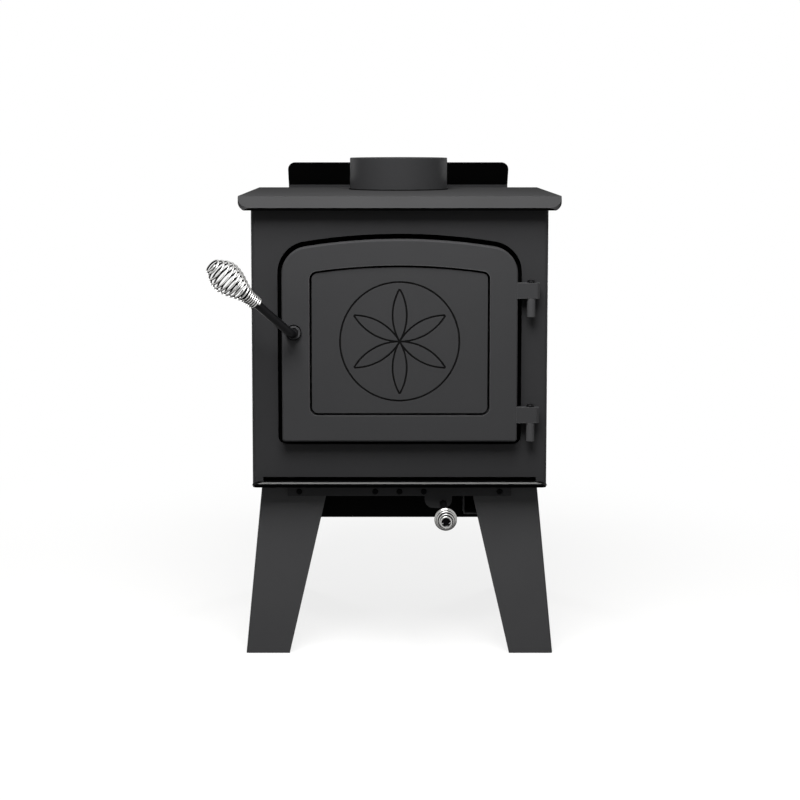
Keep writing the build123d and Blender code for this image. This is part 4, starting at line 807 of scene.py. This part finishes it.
def socket_screw(head: float, high: float, shank: float, deep: float, foot: float = 0.97, rim: float = 0.12,
                 crown: float = 0.52, socket: float = 0.36, steps: int = 6) -> list[Ring]:
    """Lists the rings of a button-head screw with a hexagon socket.

    Args:
        head: The head's radius.
        high: The head's height.
        shank: The shank's radius.
        deep: The shank's length.
        foot: The share of the head's radius at its seat.
        rim: The share of the head's height at which its dome starts.
        crown: The share of the head's radius at which its dome ends.
        socket: The share of the head's radius that the socket has.
        steps: How many rings the dome has.

    Returns:
        Rings from the shank's end, over the head and into the socket.
    """
    rings = shank_rings(shank, deep, point=0.7, point_mm=0.6)
    rings += [(head * foot, 0.0, False), (head, high * rim, False)]
    for k in range(1, steps + 1):
        angle = math.pi / 2 * k / steps
        reach = head * (crown + (1 - crown) * math.cos(angle))
        rings.append((reach, high * (rim + (1 - rim) * math.sin(angle)), False))
    rings += [(head * socket * size, high * level, hexagon) for size, level, hexagon in SOCKET]
    return rings


def hexagon_bolt(flats: float, high: float, shank: float, deep: float) -> list[Ring]:
    """Lists the rings of a bolt with a chamfered hexagon head.

    Args:
        flats: Half the width across the flats.
        high: The head's height.
        shank: The shank's radius.
        deep: The shank's length.

    Returns:
        Rings from the shank's end to the top of the head.
    """
    rings = shank_rings(shank, deep, point=0.8, point_mm=0.8)
    rings += [(flats * size, level, hexagon) for size, level, hexagon in BOLT_FOOT]
    rings += [(flats * size, high * level, hexagon) for size, level, hexagon in BOLT_TOP]
    return rings


# The bushing's rings: a thin rim, a dark groove, the flange that the handle bears on, and the bore.
BUSHING: list[Ring] = [
    (6.5, 0.0, False), (11.5, 0.0, False), (11.5, 4.6, False), (11.4, 4.9, False), (11.25, 5.0, False),
    (11.2, 4.8, False), (11.1, 0.6, False), (10.1, 0.6, False), (10.0, 5.2, False), (9.9, 5.7, False),
    (9.7, 5.9, False), (7.2, 5.9, False), (7.0, 5.6, False), (6.9, 5.0, False), (6.85, 0.8, False),
    (6.6, 0.8, False)]


def split_level(mesh: bpy.types.Mesh, height: float) -> None:
    """Cuts a mesh's faces along a level plane, so that the faces below it can have another look.

    Args:
        mesh: The mesh.
        height: The plane's height in the stove's frame.
    """
    shape = bmesh.new()
    shape.from_mesh(mesh)
    bmesh.ops.bisect_plane(
        shape, geom=[*shape.verts, *shape.edges, *shape.faces], plane_co=spot(0.0, 0.0, height),
        plane_no=(0, 0, 1))
    shape.to_mesh(mesh)
    shape.free()


# Assemblies


@dataclass
class Assembly:
    """A sub-assembly of the stove that rides on one body."""

    materials: dict[Look, bpy.types.Material]
    body: Body

    def add(self, name: str, mesh: bpy.types.Mesh, look: Look, *nodes: str) -> bpy.types.Object:
        """Adds a piece that rides on the body.

        Args:
            name: The piece's name.
            mesh: Its mesh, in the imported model's frame.
            look: The look that it gets.
            *nodes: The CAD nodes that it stands for.

        Returns:
            The piece.
        """
        piece = bpy.data.objects.new(name, mesh)
        bpy.context.scene.collection.objects.link(piece)
        mesh.materials.append(self.materials[look])
        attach(piece, self.body.value)
        look.slot
        if nodes:
            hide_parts(*nodes)
        LOG.info("%s: %d faces, %s", name, len(mesh.polygons), look.value)
        return piece

    def round_off(self, node: str, look: Look, edge_mm: float, segments: int = 2) -> bpy.types.Object:
        """Replaces a CAD node with its own form, with rounded edges.

        Args:
            node: The CAD node.
            look: The look that it gets.
            edge_mm: The reach of the rounding.
            segments: How many strips each rounding has.

        Returns:
            The piece.
        """
        piece = self.add(node + "_finished", rounded_copy(node, edge_mm, segments), look, node)
        even = piece.modifiers.new("even_normals", "WEIGHTED_NORMAL")
        even.keep_sharp = True
        return piece

    def coat(self, piece: bpy.types.Object, look: Look,
             chosen: Callable[[bpy.types.MeshPolygon], bool]) -> None:
        """Gives a second look to the faces of a piece that are chosen.

        Args:
            piece: The piece.
            look: The second look.
            chosen: Says of a face whether it gets that look.
        """
        mesh = piece.data
        mesh.materials.append(self.materials[look])
        for face in mesh.polygons:
            face.material_index = int(chosen(face))


@dataclass
class WeldedBody(Assembly):
    """The firebox: front panel and sides, top with its lip, flue collar, seal frame and ash lip."""

    body: Body = Body.STOVE
    sheet_edge: float = 0.7
    plate_edge: float = 1.0
    lip_edge: float = 0.4
    collar_edge: float = 0.9
    lip_slope: float = 0.4
    underside: float = -0.5
    ash_low_z: float = 264.0
    panel_front_y: float = 1.0
    top_face_z: float = 694.0
    flue_y: float = 321.0
    flue_radius: float = 80.0
    bead_radius: float = 1.7
    bead_step: float = 3.2
    bead_swell: float = 0.16
    ripple_rings: int = 6

    def build(self) -> None:
        """Builds the firebox's pieces."""
        wrap = self.round_off("body_wrap", Look.PAINTED_STEEL, self.sheet_edge)
        # Painted shade: the front's strip below the ash slot, in the lip's shadow, gets near-black paint.
        split_level(wrap.data, self.ash_low_z)
        below = spot(0.0, self.panel_front_y, self.ash_low_z)
        self.coat(wrap, Look.SHADED_STEEL, lambda face: face.center.z < below.z and face.center.y < below.y)
        for node in ("back_plate", "bottom_plate"):
            self.round_off(node, Look.PAINTED_STEEL, self.sheet_edge)
        # Painted shade: the seal frame, seen through the gap round the door, gets near-black paint.
        self.round_off("seal_frame", Look.SHADED_STEEL, self.sheet_edge)
        # The ash lip is near black, a painted shade, and its faces that look up and forward get lighter
        # paint, a painted highlight.
        lip = self.round_off("ash_lip", Look.SHADED_STEEL, self.lip_edge, FINE)
        self.coat(lip, Look.HIGHLIGHTED_LIP, lambda face: min(-face.normal.y, face.normal.z) > self.lip_slope)
        # Painted shade: the top plate's faces that look down get near-black paint.
        top = self.round_off("top_plate", Look.PAINTED_TOP, self.plate_edge, FINE)
        self.coat(top, Look.SHADED_TOP, lambda face: face.normal.z < self.underside)
        self.round_off("flue_collar", Look.PAINTED_STEEL, self.collar_edge, FINE)
        self.collar_weld()

    def collar_weld(self) -> None:
        """Builds the rippled weld bead round the foot of the flue collar."""
        length = 2 * math.pi * self.flue_radius
        ripples = round(length / self.bead_step)
        count = ripples * self.ripple_rings
        points = []
        for i in range(count):
            angle = 2 * math.pi * i / count
            points.append(spot(
                self.flue_radius * math.cos(angle), self.flue_y + self.flue_radius * math.sin(angle),
                self.top_face_z))

        def radius(i: int) -> float:
            """Returns the bead's radius, which swells at each ripple."""
            ripple = math.sin(2 * math.pi * i / self.ripple_rings)
            return self.bead_radius * (1 + self.bead_swell * ripple) * MM
        bead = tube("flue_collar_weld_mesh", points, radius, sides=10, closed=True)
        # Painted shadow: the weld bead at the collar's foot is near black.
        self.add("flue_collar_weld", bead, Look.SHADED_TOP)


@dataclass
class HeatShields(Assembly):
    """The rear shield and the tray under the stove, with their posts and screws."""

    body: Body = Body.STOVE
    sheet_edge: float = 0.35
    rear_face_y: float = 456.5
    rear_screw_x: float = 146.5
    rear_screw_z: tuple[float, float] = (310.0, 610.0)
    tray_face_z: float = 203.6
    tray_screw_x: float = 172.0
    tray_screw_y: tuple[float, float] = (100.0, 330.0)
    post_edge: float = 0.4
    deflector_slope: float = 0.3
    head: float = 6.0
    head_high: float = 2.6
    shank: float = 3.0
    rear_shank: float = 31.0
    tray_shank: float = 19.4

    def build(self) -> None:
        """Builds the shields' pieces."""
        rear_sheet = self.round_off("rear_heat_shield", Look.SHIELD_SHEET, self.sheet_edge)
        # Painted shade: the deflector's faces that look forward and down, and the whole tray, are near
        # black.
        self.coat(rear_sheet, Look.SHADED_SHEET,
                  lambda face: max(face.normal.y, face.normal.z) < -self.deflector_slope)
        self.round_off("bottom_heat_shield", Look.SHADED_SHEET, self.sheet_edge)
        for node in ("shield_spacers", "tray_spacers"):
            self.round_off(node, Look.BARE_STEEL, self.post_edge)
        rear = [(spot(x, self.rear_face_y, z), BACK)
                for x in (-self.rear_screw_x, self.rear_screw_x) for z in self.rear_screw_z]
        rings = socket_screw(self.head, self.head_high, self.shank, self.rear_shank)
        self.add("shield_screws_finished", turned("shield_screws_mesh", rear, rings),
                 Look.BLACK_OXIDE_STEEL, "shield_screws")
        below = [(spot(x, y, self.tray_face_z), DOWN)
                 for x in (-self.tray_screw_x, self.tray_screw_x) for y in self.tray_screw_y]
        rings = socket_screw(self.head, self.head_high, self.shank, self.tray_shank)
        self.add("tray_screws_finished", turned("tray_screws_mesh", below, rings),
                 Look.BLACK_OXIDE_STEEL, "tray_screws")


@dataclass
class Legs(Assembly):
    """Four bent sheet legs and their bolts."""

    body: Body = Body.STOVE
    sheet_edge: float = 0.7
    bolt_x: tuple[float, float] = (135.0, 180.0)
    bolt_y: tuple[float, float] = (58.0, 372.0)
    bolt_seat_z: float = 254.0
    bolt_flats: float = 6.5
    bolt_head: float = 5.3
    bolt_shank: float = 4.0
    bolt_long: float = 9.5

    def build(self) -> None:
        """Builds the legs and their bolts."""
        for node in ("leg_front_left", "leg_front_right", "leg_rear_left", "leg_rear_right"):
            self.round_off(node, Look.PAINTED_FITTING, self.sheet_edge, FINE)
        places = [(spot(side * x, y, self.bolt_seat_z), DOWN)
                  for side in (-1, 1) for x in self.bolt_x for y in self.bolt_y]
        rings = hexagon_bolt(self.bolt_flats, self.bolt_head, self.bolt_shank, self.bolt_long)
        self.add("leg_bolts_finished", turned("leg_bolts_mesh", places, rings),
                 Look.BLACK_OXIDE_STEEL, "leg_bolts")


@dataclass
class Valance(Assembly):
    """The strip under the front, its bracket and its screws."""

    body: Body = Body.STOVE
    screw_x: tuple[float, ...] = (-150.6, -36.5, 0.0, 36.5, 150.6)
    screw_z: float = 249.5
    screw_seat_y: float = 12.0

    def build(self) -> None:
        """Builds the valance's pieces."""
        self.round_off("front_valance", Look.PAINTED_STEEL, edge_mm=0.6)
        self.round_off("valance_bracket", Look.PAINTED_STEEL, edge_mm=0.5)
        places = [(spot(x, self.screw_seat_y, self.screw_z), FRONT) for x in self.screw_x]
        rings = socket_screw(head=4.5, high=2.2, shank=2.5, deep=6.0)
        # Painted shade: the screws in the lip's shadow are near black and dull.
        self.add("valance_screws_finished", turned("valance_screws_mesh", places, rings),
                 Look.SHADED_OXIDE, "valance_screws")


@dataclass
class FireLining(Assembly):
    """Bricks, grate, baffle and the air parts that stay still."""

    body: Body = Body.STOVE
    brick_edge: float = 2.0
    brick_wobble: float = 0.35
    brick_wave_mm: float = 18.0

    def build(self) -> None:
        """Builds the lining and the still parts of the air supply."""
        for node in ("floor_bricks", "side_bricks_left", "side_bricks_right", "rear_bricks"):
            piece = self.round_off(node, Look.FIREBRICK, self.brick_edge, FINE)
            self.wear(piece.data)
        self.round_off("baffle_board", Look.VERMICULITE, edge_mm=1.2)
        self.round_off("baffle_rails", Look.BARE_STEEL, edge_mm=0.5)
        self.round_off("floor_grate", Look.BARE_CAST_IRON, edge_mm=0.9)
        self.round_off("air_intake_duct", Look.PAINTED_FITTING, edge_mm=0.4)
        self.round_off("damper_guides", Look.BARE_STEEL, edge_mm=0.4)

    def wear(self, mesh: bpy.types.Mesh) -> None:
        """Moves the corners of the bricks' faces a little, as pressed and worn bricks are uneven.

        Args:
            mesh: The bricks' mesh.
        """
        for vertex in mesh.vertices:
            wave = noise.noise_vector(vertex.co * per_mm(self.brick_wave_mm))
            vertex.co += wave * self.brick_wobble * MM


@dataclass
class Hinge(Assembly):
    """Barrels on the front panel, with headed pins, and the latch's wear plate behind it."""

    body: Body = Body.STOVE

    def build(self) -> None:
        """Builds the hinge and the keeper."""
        for node in ("hinge_barrel_upper", "hinge_barrel_lower"):
            self.round_off(node, Look.PAINTED_FITTING, edge_mm=0.6, segments=FINE)
        self.round_off("hinge_pins", Look.BLACK_OXIDE_STEEL, edge_mm=0.4)
        self.round_off("latch_keeper", Look.BARE_STEEL, edge_mm=0.4)


@dataclass
class Door(Assembly):
    """The arched casting, its panel, clips, board and rope."""

    body: Body = Body.DOOR
    cast_edge: float = 2.0
    panel_edge: float = 0.5
    panel_face_y: float = -17.0
    clean_depth: float = 0.3
    clip_places: tuple[tuple[float, float], ...] = (
        (-90.0, 598.53), (90.0, 598.53), (-90.0, 359.8), (90.0, 359.8))
    clip_seat_y: float = 5.0
    bushing_place: tuple[Vector, Vector] = (spot(-156.0, -20.0, 494.0), FRONT)
    bushing_flange_y: float = -25.1
    rope_half: float = 142.75
    rope_z: tuple[float, float] = (346.0, 608.03)
    rope_y: float = -1.5
    rope_corner: float = 16.0
    rope_radius: float = 5.0
    rope_strands: int = 4
    rope_pitch: float = 15.0
    rope_step: float = 1.1
    core_share: float = 0.66
    strand_share: float = 0.27
    strand_reach: float = 0.72
    strand_lift: float = 0.05

    def build(self) -> None:
        """Builds the door's pieces."""
        self.round_off("door_casting", Look.PAINTED_CAST_IRON, self.cast_edge, FINE)
        panel = self.round_off("door_panel", Look.PAINTED_PANEL, self.panel_edge)
        # Faces deeper than the panel's face are near black: sooting on the fire side, painted shade in the
        # grooves and lines.
        deep = spot(0.0, self.panel_face_y + self.clean_depth, 0.0).y
        self.coat(panel, Look.SOOTED_AND_SHADED_CAST_IRON, lambda face: face.center.y > deep)
        self.round_off("panel_gasket", Look.FIBREGLASS_ROPE, edge_mm=0.25)
        self.round_off("panel_clips", Look.BARE_STEEL, edge_mm=0.4)
        self.round_off("door_insulation", Look.VERMICULITE, edge_mm=0.8)
        ring = turned("handle_bushing_mesh", [self.bushing_place], BUSHING, sides=48)
        bushing = self.add("handle_bushing_finished", ring, Look.BUSHING_STEEL, "handle_bushing")
        # Painted shade: the bushing's groove and bore, behind its flange, are near black.
        flange = spot(0.0, self.bushing_flange_y, 0.0).y
        self.coat(bushing, Look.SHADED_OXIDE, lambda face: face.center.y > flange)
        places = [(spot(x, self.clip_seat_y, z), BACK) for x, z in self.clip_places]
        rings = socket_screw(head=4.0, high=2.5, shank=2.5, deep=14.0)
        self.add("clip_screws_finished", turned("clip_screws_mesh", places, rings),
                 Look.BLACK_OXIDE_STEEL, "clip_screws")
        self.rope()

    def rope_line(self, along: float) -> tuple[Vector, Vector]:
        """Finds a place on the rope's middle line.

        Args:
            along: The share of the line's length, from the left end of its top.

        Returns:
            The place in metres, and the way outwards there.
        """
        half_x = self.rope_half - self.rope_corner
        low, high = self.rope_z
        half_z = (high - low) / 2 - self.rope_corner
        middle = (high + low) / 2
        quarter = math.pi / 2 * self.rope_corner
        runs = (2 * half_x, quarter, 2 * half_z, quarter, 2 * half_x, quarter, 2 * half_z, quarter)
        left = along * sum(runs)
        start_turn = math.pi / 2
        corners = ((half_x, half_z), (half_x, -half_z), (-half_x, -half_z), (-half_x, half_z))
        for i, run in enumerate(runs):
            if left > run and i < len(runs) - 1:
                left -= run
                continue
            side = i // 2
            turn = start_turn - side * math.pi / 2
            corner = Vector(corners[side])
            if i % 2:
                turn -= left / self.rope_corner
                place = corner
            else:
                back = Vector((math.sin(turn), -math.cos(turn)))
                place = corner - back * (run - left)
            out = Vector((math.cos(turn), math.sin(turn)))
            place = place + out * self.rope_corner
            return spot(place.x, self.rope_y, place.y + middle), Vector((out.x, 0, out.y))
        raise ValueError("the rope has no such place")

    def rope_length(self) -> float:
        """Returns the length of the rope's middle line."""
        straight = 2 * (2 * self.rope_half + self.rope_z[1] - self.rope_z[0]) - 8 * self.rope_corner
        return straight + 2 * math.pi * self.rope_corner

    def rope(self) -> None:
        """Builds the knitted rope: two sets of strands that cross over and under each other, on a core."""
        count = round(self.rope_length() / self.rope_step)
        turns = round(self.rope_length() / self.rope_pitch)
        lines = [self.rope_line(i / count) for i in range(count)]
        core = self.core_share * self.rope_radius * MM
        yarn = self.strand_share * self.rope_radius * MM
        meshes = [tube("rope_core", [point for point, _ in lines], lambda i: core, sides=10, closed=True)]
        for way in (-1, 1):
            for strand in range(self.rope_strands):
                start = 2 * math.pi * strand / self.rope_strands
                points = []
                for i, (point, out) in enumerate(lines):
                    angle = way * 2 * math.pi * turns * i / count + start
                    cross = math.cos(self.rope_strands * 2 * math.pi * turns * i / count)
                    reach = (self.strand_reach + self.strand_lift * way * cross) * self.rope_radius * MM
                    points.append(point + (out * math.cos(angle) + Vector((0, math.sin(angle), 0))) * reach)
                meshes.append(tube("rope_strand", points, lambda i: yarn, sides=6, closed=True))
        shape = bmesh.new()
        for mesh in meshes:
            shape.from_mesh(mesh)
            bpy.data.meshes.remove(mesh)
        joined = bpy.data.meshes.new("door_rope_mesh")
        shape.to_mesh(joined)
        shape.free()
        self.add("door_rope_knitted", joined, Look.FIBREGLASS_ROPE, "door_rope")


@dataclass(frozen=True)
class WoundGrip:
    """A bulb wound from one wire: close turns at the neck, an even pitch and a closed ring at the tip."""

    neck: Vector
    axis: Vector
    side: Vector
    wire: float
    turns: int
    close_turns: int
    length: float
    neck_outer: float
    bulb: float
    tip: float
    swell_at: float
    bulb_at: float
    close_gap: float = 0.5
    ease_turns: float = 2.0
    end_turns: int = 1
    steps: int = 44

    def advance(self, turn: float) -> float:
        """Winds the wire on: slowly at the neck, evenly over the bulb and slowly in the last ring.

        Args:
            turn: The number of turns so far.

        Returns:
            How far along the axis they reach.
        """
        close = self.wire + self.close_gap
        slow = self.close_turns + self.ease_turns / 2 + self.end_turns
        gain = (self.length - slow * close) / (self.turns - slow) - close
        past = max(min(turn, self.turns - self.end_turns) - self.close_turns, 0.0)
        eased = min(past, self.ease_turns)
        return turn * close + gain * (eased ** 2 / (2 * self.ease_turns) + max(past - self.ease_turns, 0.0))

    def radius(self, along: float) -> float:
        """Shapes the bulb.

        Args:
            along: A place on the axis.

        Returns:
            The radius of the wire's middle there.
        """
        if along <= self.bulb_at:
            share = min(max((along - self.swell_at) / (self.bulb_at - self.swell_at), 0.0), 1.0)
            outer = self.neck_outer + (self.bulb - self.neck_outer) * (1 - math.cos(math.pi * share)) / 2
        else:
            ring_at = self.length - self.end_turns * (self.wire + self.close_gap)
            closing = (ring_at - self.bulb_at) / math.acos(self.tip / self.bulb)
            outer = self.bulb * math.cos((min(along, ring_at) - self.bulb_at) / closing)
        return outer - self.wire / 2

    def mesh(self, name: str) -> bpy.types.Mesh:
        """Builds the wire as a tube with domed ends.

        Args:
            name: The mesh's name.

        Returns:
            The mesh.
        """
        other = self.axis.cross(self.side)
        points = []
        outward = []
        for i in range(self.turns * self.steps + 1):
            turn = i / self.steps
            along = self.advance(turn)
            angle = 2 * math.pi * turn
            out = self.side * math.cos(angle) + other * math.sin(angle)
            points.append(spot(*(self.neck + self.axis * along + out * self.radius(along))))
            outward.append(out)
        return tube(name, points, lambda i: self.wire / 2 * MM, sides=16, closed=False, outward=outward)


HANDLE_TURN = math.radians(43.9)
HANDLE_LEAN = math.radians(22.0)
HANDLE_WAY = Vector((-math.cos(HANDLE_TURN), 0.0, math.sin(HANDLE_TURN))) * math.cos(HANDLE_LEAN)
HANDLE_WAY.y = -math.sin(HANDLE_LEAN)
HANDLE_SIDE = HANDLE_WAY.cross(DOWN).normalized()
HANDLE_BEND = Vector((-156.0, -54.0, 494.0))
HANDLE_NECK_AT = 74.5
HANDLE_NECK = HANDLE_BEND + HANDLE_WAY * HANDLE_NECK_AT


@dataclass
class Latch(Assembly):
    """The bent handle with its wound grip, and the hook behind the door."""

    body: Body = Body.LATCH
    grip: WoundGrip = field(default_factory=lambda: WoundGrip(
        HANDLE_NECK, HANDLE_WAY, HANDLE_SIDE, wire=3.0, turns=17, close_turns=5, length=90.5,
        neck_outer=10.45, bulb=23.5, tip=12.2, swell_at=10.5, bulb_at=63.0))

    def build(self) -> None:
        """Builds the latch's pieces."""
        self.round_off("handle_rod", Look.BLACK_OXIDE_STEEL, edge_mm=0.5)
        self.add("handle_grip_wound", self.grip.mesh("handle_grip_mesh"), Look.NICKEL_WIRE, "handle_coil")
        for node in ("latch_spacer", "latch_nut"):
            self.round_off(node, Look.BARE_STEEL, edge_mm=0.4)
        self.round_off("latch_hook", Look.BARE_CAST_IRON, edge_mm=0.6)


@dataclass
class AirControl(Assembly):
    """The rod with its wound grip, and the damper that it slides."""

    body: Body = Body.AIR
    grip: WoundGrip = field(default_factory=lambda: WoundGrip(
        Vector((66.0, -61.0, 231.5)), FRONT, RIGHT, wire=2.8, turns=14, close_turns=4, length=60.0,
        neck_outer=7.66, bulb=16.5, tip=8.8, swell_at=8.0, bulb_at=38.0))

    def build(self) -> None:
        """Builds the air control's pieces."""
        # Painted shade: the rod, in the lip's shadow, is near black and dull.
        self.round_off("control_rod", Look.SHADED_OXIDE, edge_mm=0.3)
        self.add("control_grip_wound", self.grip.mesh("control_grip_mesh"), Look.SOOTED_AND_SHADED_NICKEL_WIRE,
                 "control_coil")
        self.round_off("damper_slide", Look.BARE_STEEL, edge_mm=0.4)
        self.round_off("rod_clips", Look.BARE_STEEL, edge_mm=0.3)


# Studio


@dataclass(frozen=True)
class Softbox:
    """A square lamp that points at the stove, with its place and width in metres and its power in watts."""

    name: str
    place: tuple[float, float, float]
    width: float
    power: float


# A soft lamp above the front, two weak ones beside it and two that light the sides and the back.
LAMPS = (
    Softbox("key_softbox", (-0.06, -1.05, 1.75), width=1.0, power=48.0),
    Softbox("left_fill", (-2.0, -2.0, 0.9), width=1.4, power=5.0),
    Softbox("right_fill", (2.0, -2.0, 0.9), width=1.4, power=5.0),
    Softbox("left_rear", (-1.4, 2.0, 0.3), width=0.5, power=36.0),
    Softbox("right_rear", (1.4, 2.0, 0.3), width=0.5, power=36.0))


@dataclass
class Studio:
    """Camera, lamps, world and floor."""

    camera_mm: tuple[float, float, float] = (-15.7, -2628.9, 782.7)
    pitch_degrees: float = 5.915
    lens_mm: float = 80.24
    shift: tuple[float, float] = (0.0137, -0.1)
    lamp_target: tuple[float, float, float] = (0.0, 0.0, 0.42)
    dome_strength: float = 0.15
    floor_colour: str = "#7c7c7b"
    floor_size: float = 14.0
    floor_glow: float = 0.8
    fade_metres: tuple[float, float] = (0.55, 1.5)

    def build(self) -> None:
        """Builds the studio."""
        scene = bpy.context.scene
        scene.view_settings.view_transform = "Standard"
        self.set_camera(scene)
        self.set_world(scene)
        self.set_lamps(scene)
        self.set_floor(scene)

    def set_camera(self, scene: bpy.types.Scene) -> None:
        """Places the camera at the photograph's viewing point.

        Args:
            scene: The scene.
        """
        lens = bpy.data.cameras.new("camera")
        lens.sensor_width = SENSOR_MM
        lens.lens = self.lens_mm
        lens.shift_x, lens.shift_y = self.shift
        camera = bpy.data.objects.new("camera", lens)
        camera.location = spot(*self.camera_mm)
        camera.rotation_euler = (math.radians(90 - self.pitch_degrees), 0, 0)
        scene.collection.objects.link(camera)
        scene.camera = camera

    def set_world(self, scene: bpy.types.Scene) -> None:
        """Makes a white surround for the camera and reflections, and a softer dome for plain light.

        Args:
            scene: The scene.
        """
        world = bpy.data.worlds.new("white_surround")
        world.use_nodes = True
        tree = world.node_tree
        tree.nodes.clear()
        plain = add_node(tree, "ShaderNodeBackground", {"Color": WHITE, "Strength": self.dome_strength})
        white = add_node(tree, "ShaderNodeBackground", {"Color": WHITE, "Strength": 1.0})
        both = add_node(tree, "ShaderNodeMixShader", {
            0: direct_rays(tree), 1: plain.outputs[0], 2: white.outputs[0]})
        add_node(tree, "ShaderNodeOutputWorld", {"Surface": both.outputs[0]})
        scene.world = world

    def set_lamps(self, scene: bpy.types.Scene) -> None:
        """Hangs the lamps.

        Args:
            scene: The scene.
        """
        for softbox in LAMPS:
            lamp = bpy.data.lights.new(softbox.name, "AREA")
            lamp.shape = "SQUARE"
            lamp.size = softbox.width
            lamp.energy = softbox.power
            holder = bpy.data.objects.new(softbox.name, lamp)
            holder.location = softbox.place
            holder.rotation_mode = "QUATERNION"
            aim = Vector(self.lamp_target) - Vector(softbox.place)
            holder.rotation_quaternion = aim.to_track_quat("-Z", "Y")
            scene.collection.objects.link(holder)

    def set_floor(self, scene: bpy.types.Scene) -> None:
        """Lays a pale floor that keeps the stove's shadow and fades to white farther out.

        Args:
            scene: The scene.
        """
        half = self.floor_size / 2
        mesh = bpy.data.meshes.new("floor_mesh")
        mesh.from_pydata([(-half, -half, 0), (half, -half, 0), (half, half, 0), (-half, half, 0)], [],
                         [(0, 1, 2, 3)])
        material = new_material("pale_studio_floor")
        tree = material.node_tree
        seen = direct_rays(tree)
        glow = add_node(tree, "ShaderNodeMath", {
            0: seen, 1: self.floor_glow}, operation="MULTIPLY").outputs[0]
        matt = add_node(tree, "ShaderNodeBsdfDiffuse", {"Color": linear(self.floor_colour)})
        light = add_node(tree, "ShaderNodeEmission", {"Color": WHITE, "Strength": glow})
        near = add_node(tree, "ShaderNodeAddShader", {0: matt.outputs[0], 1: light.outputs[0]})
        white = add_node(tree, "ShaderNodeEmission", {"Color": WHITE, "Strength": 1.0})
        place = add_node(tree, "ShaderNodeTexCoord").outputs["Object"]
        away = add_node(tree, "ShaderNodeVectorMath", {0: place}, operation="LENGTH").outputs["Value"]
        fade = add_node(tree, "ShaderNodeMapRange", {
            "Value": away, "From Min": self.fade_metres[0], "From Max": self.fade_metres[1]},
            interpolation_type="SMOOTHSTEP").outputs[0]
        fade = add_node(tree, "ShaderNodeMath", {0: fade, 1: seen}, operation="MULTIPLY").outputs[0]
        both = add_node(tree, "ShaderNodeMixShader", {0: fade, 1: near.outputs[0], 2: white.outputs[0]})
        add_node(tree, "ShaderNodeOutputMaterial", {"Surface": both.outputs[0]})
        mesh.materials.append(material)
        floor = bpy.data.objects.new("floor", mesh)
        scene.collection.objects.link(floor)


def main() -> None:
    """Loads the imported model, dresses it and sets up the studio."""
    logging.basicConfig(level=logging.INFO, format="%(message)s")
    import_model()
    materials = {look: finish.material() for look, finish in FINISHES.items()}
    for assembly in (WeldedBody, HeatShields, Legs, Valance, FireLining, Hinge, Door, Latch, AirControl):
        assembly(materials).build()
    Studio().build()


if __name__ == "__main__":
    main()
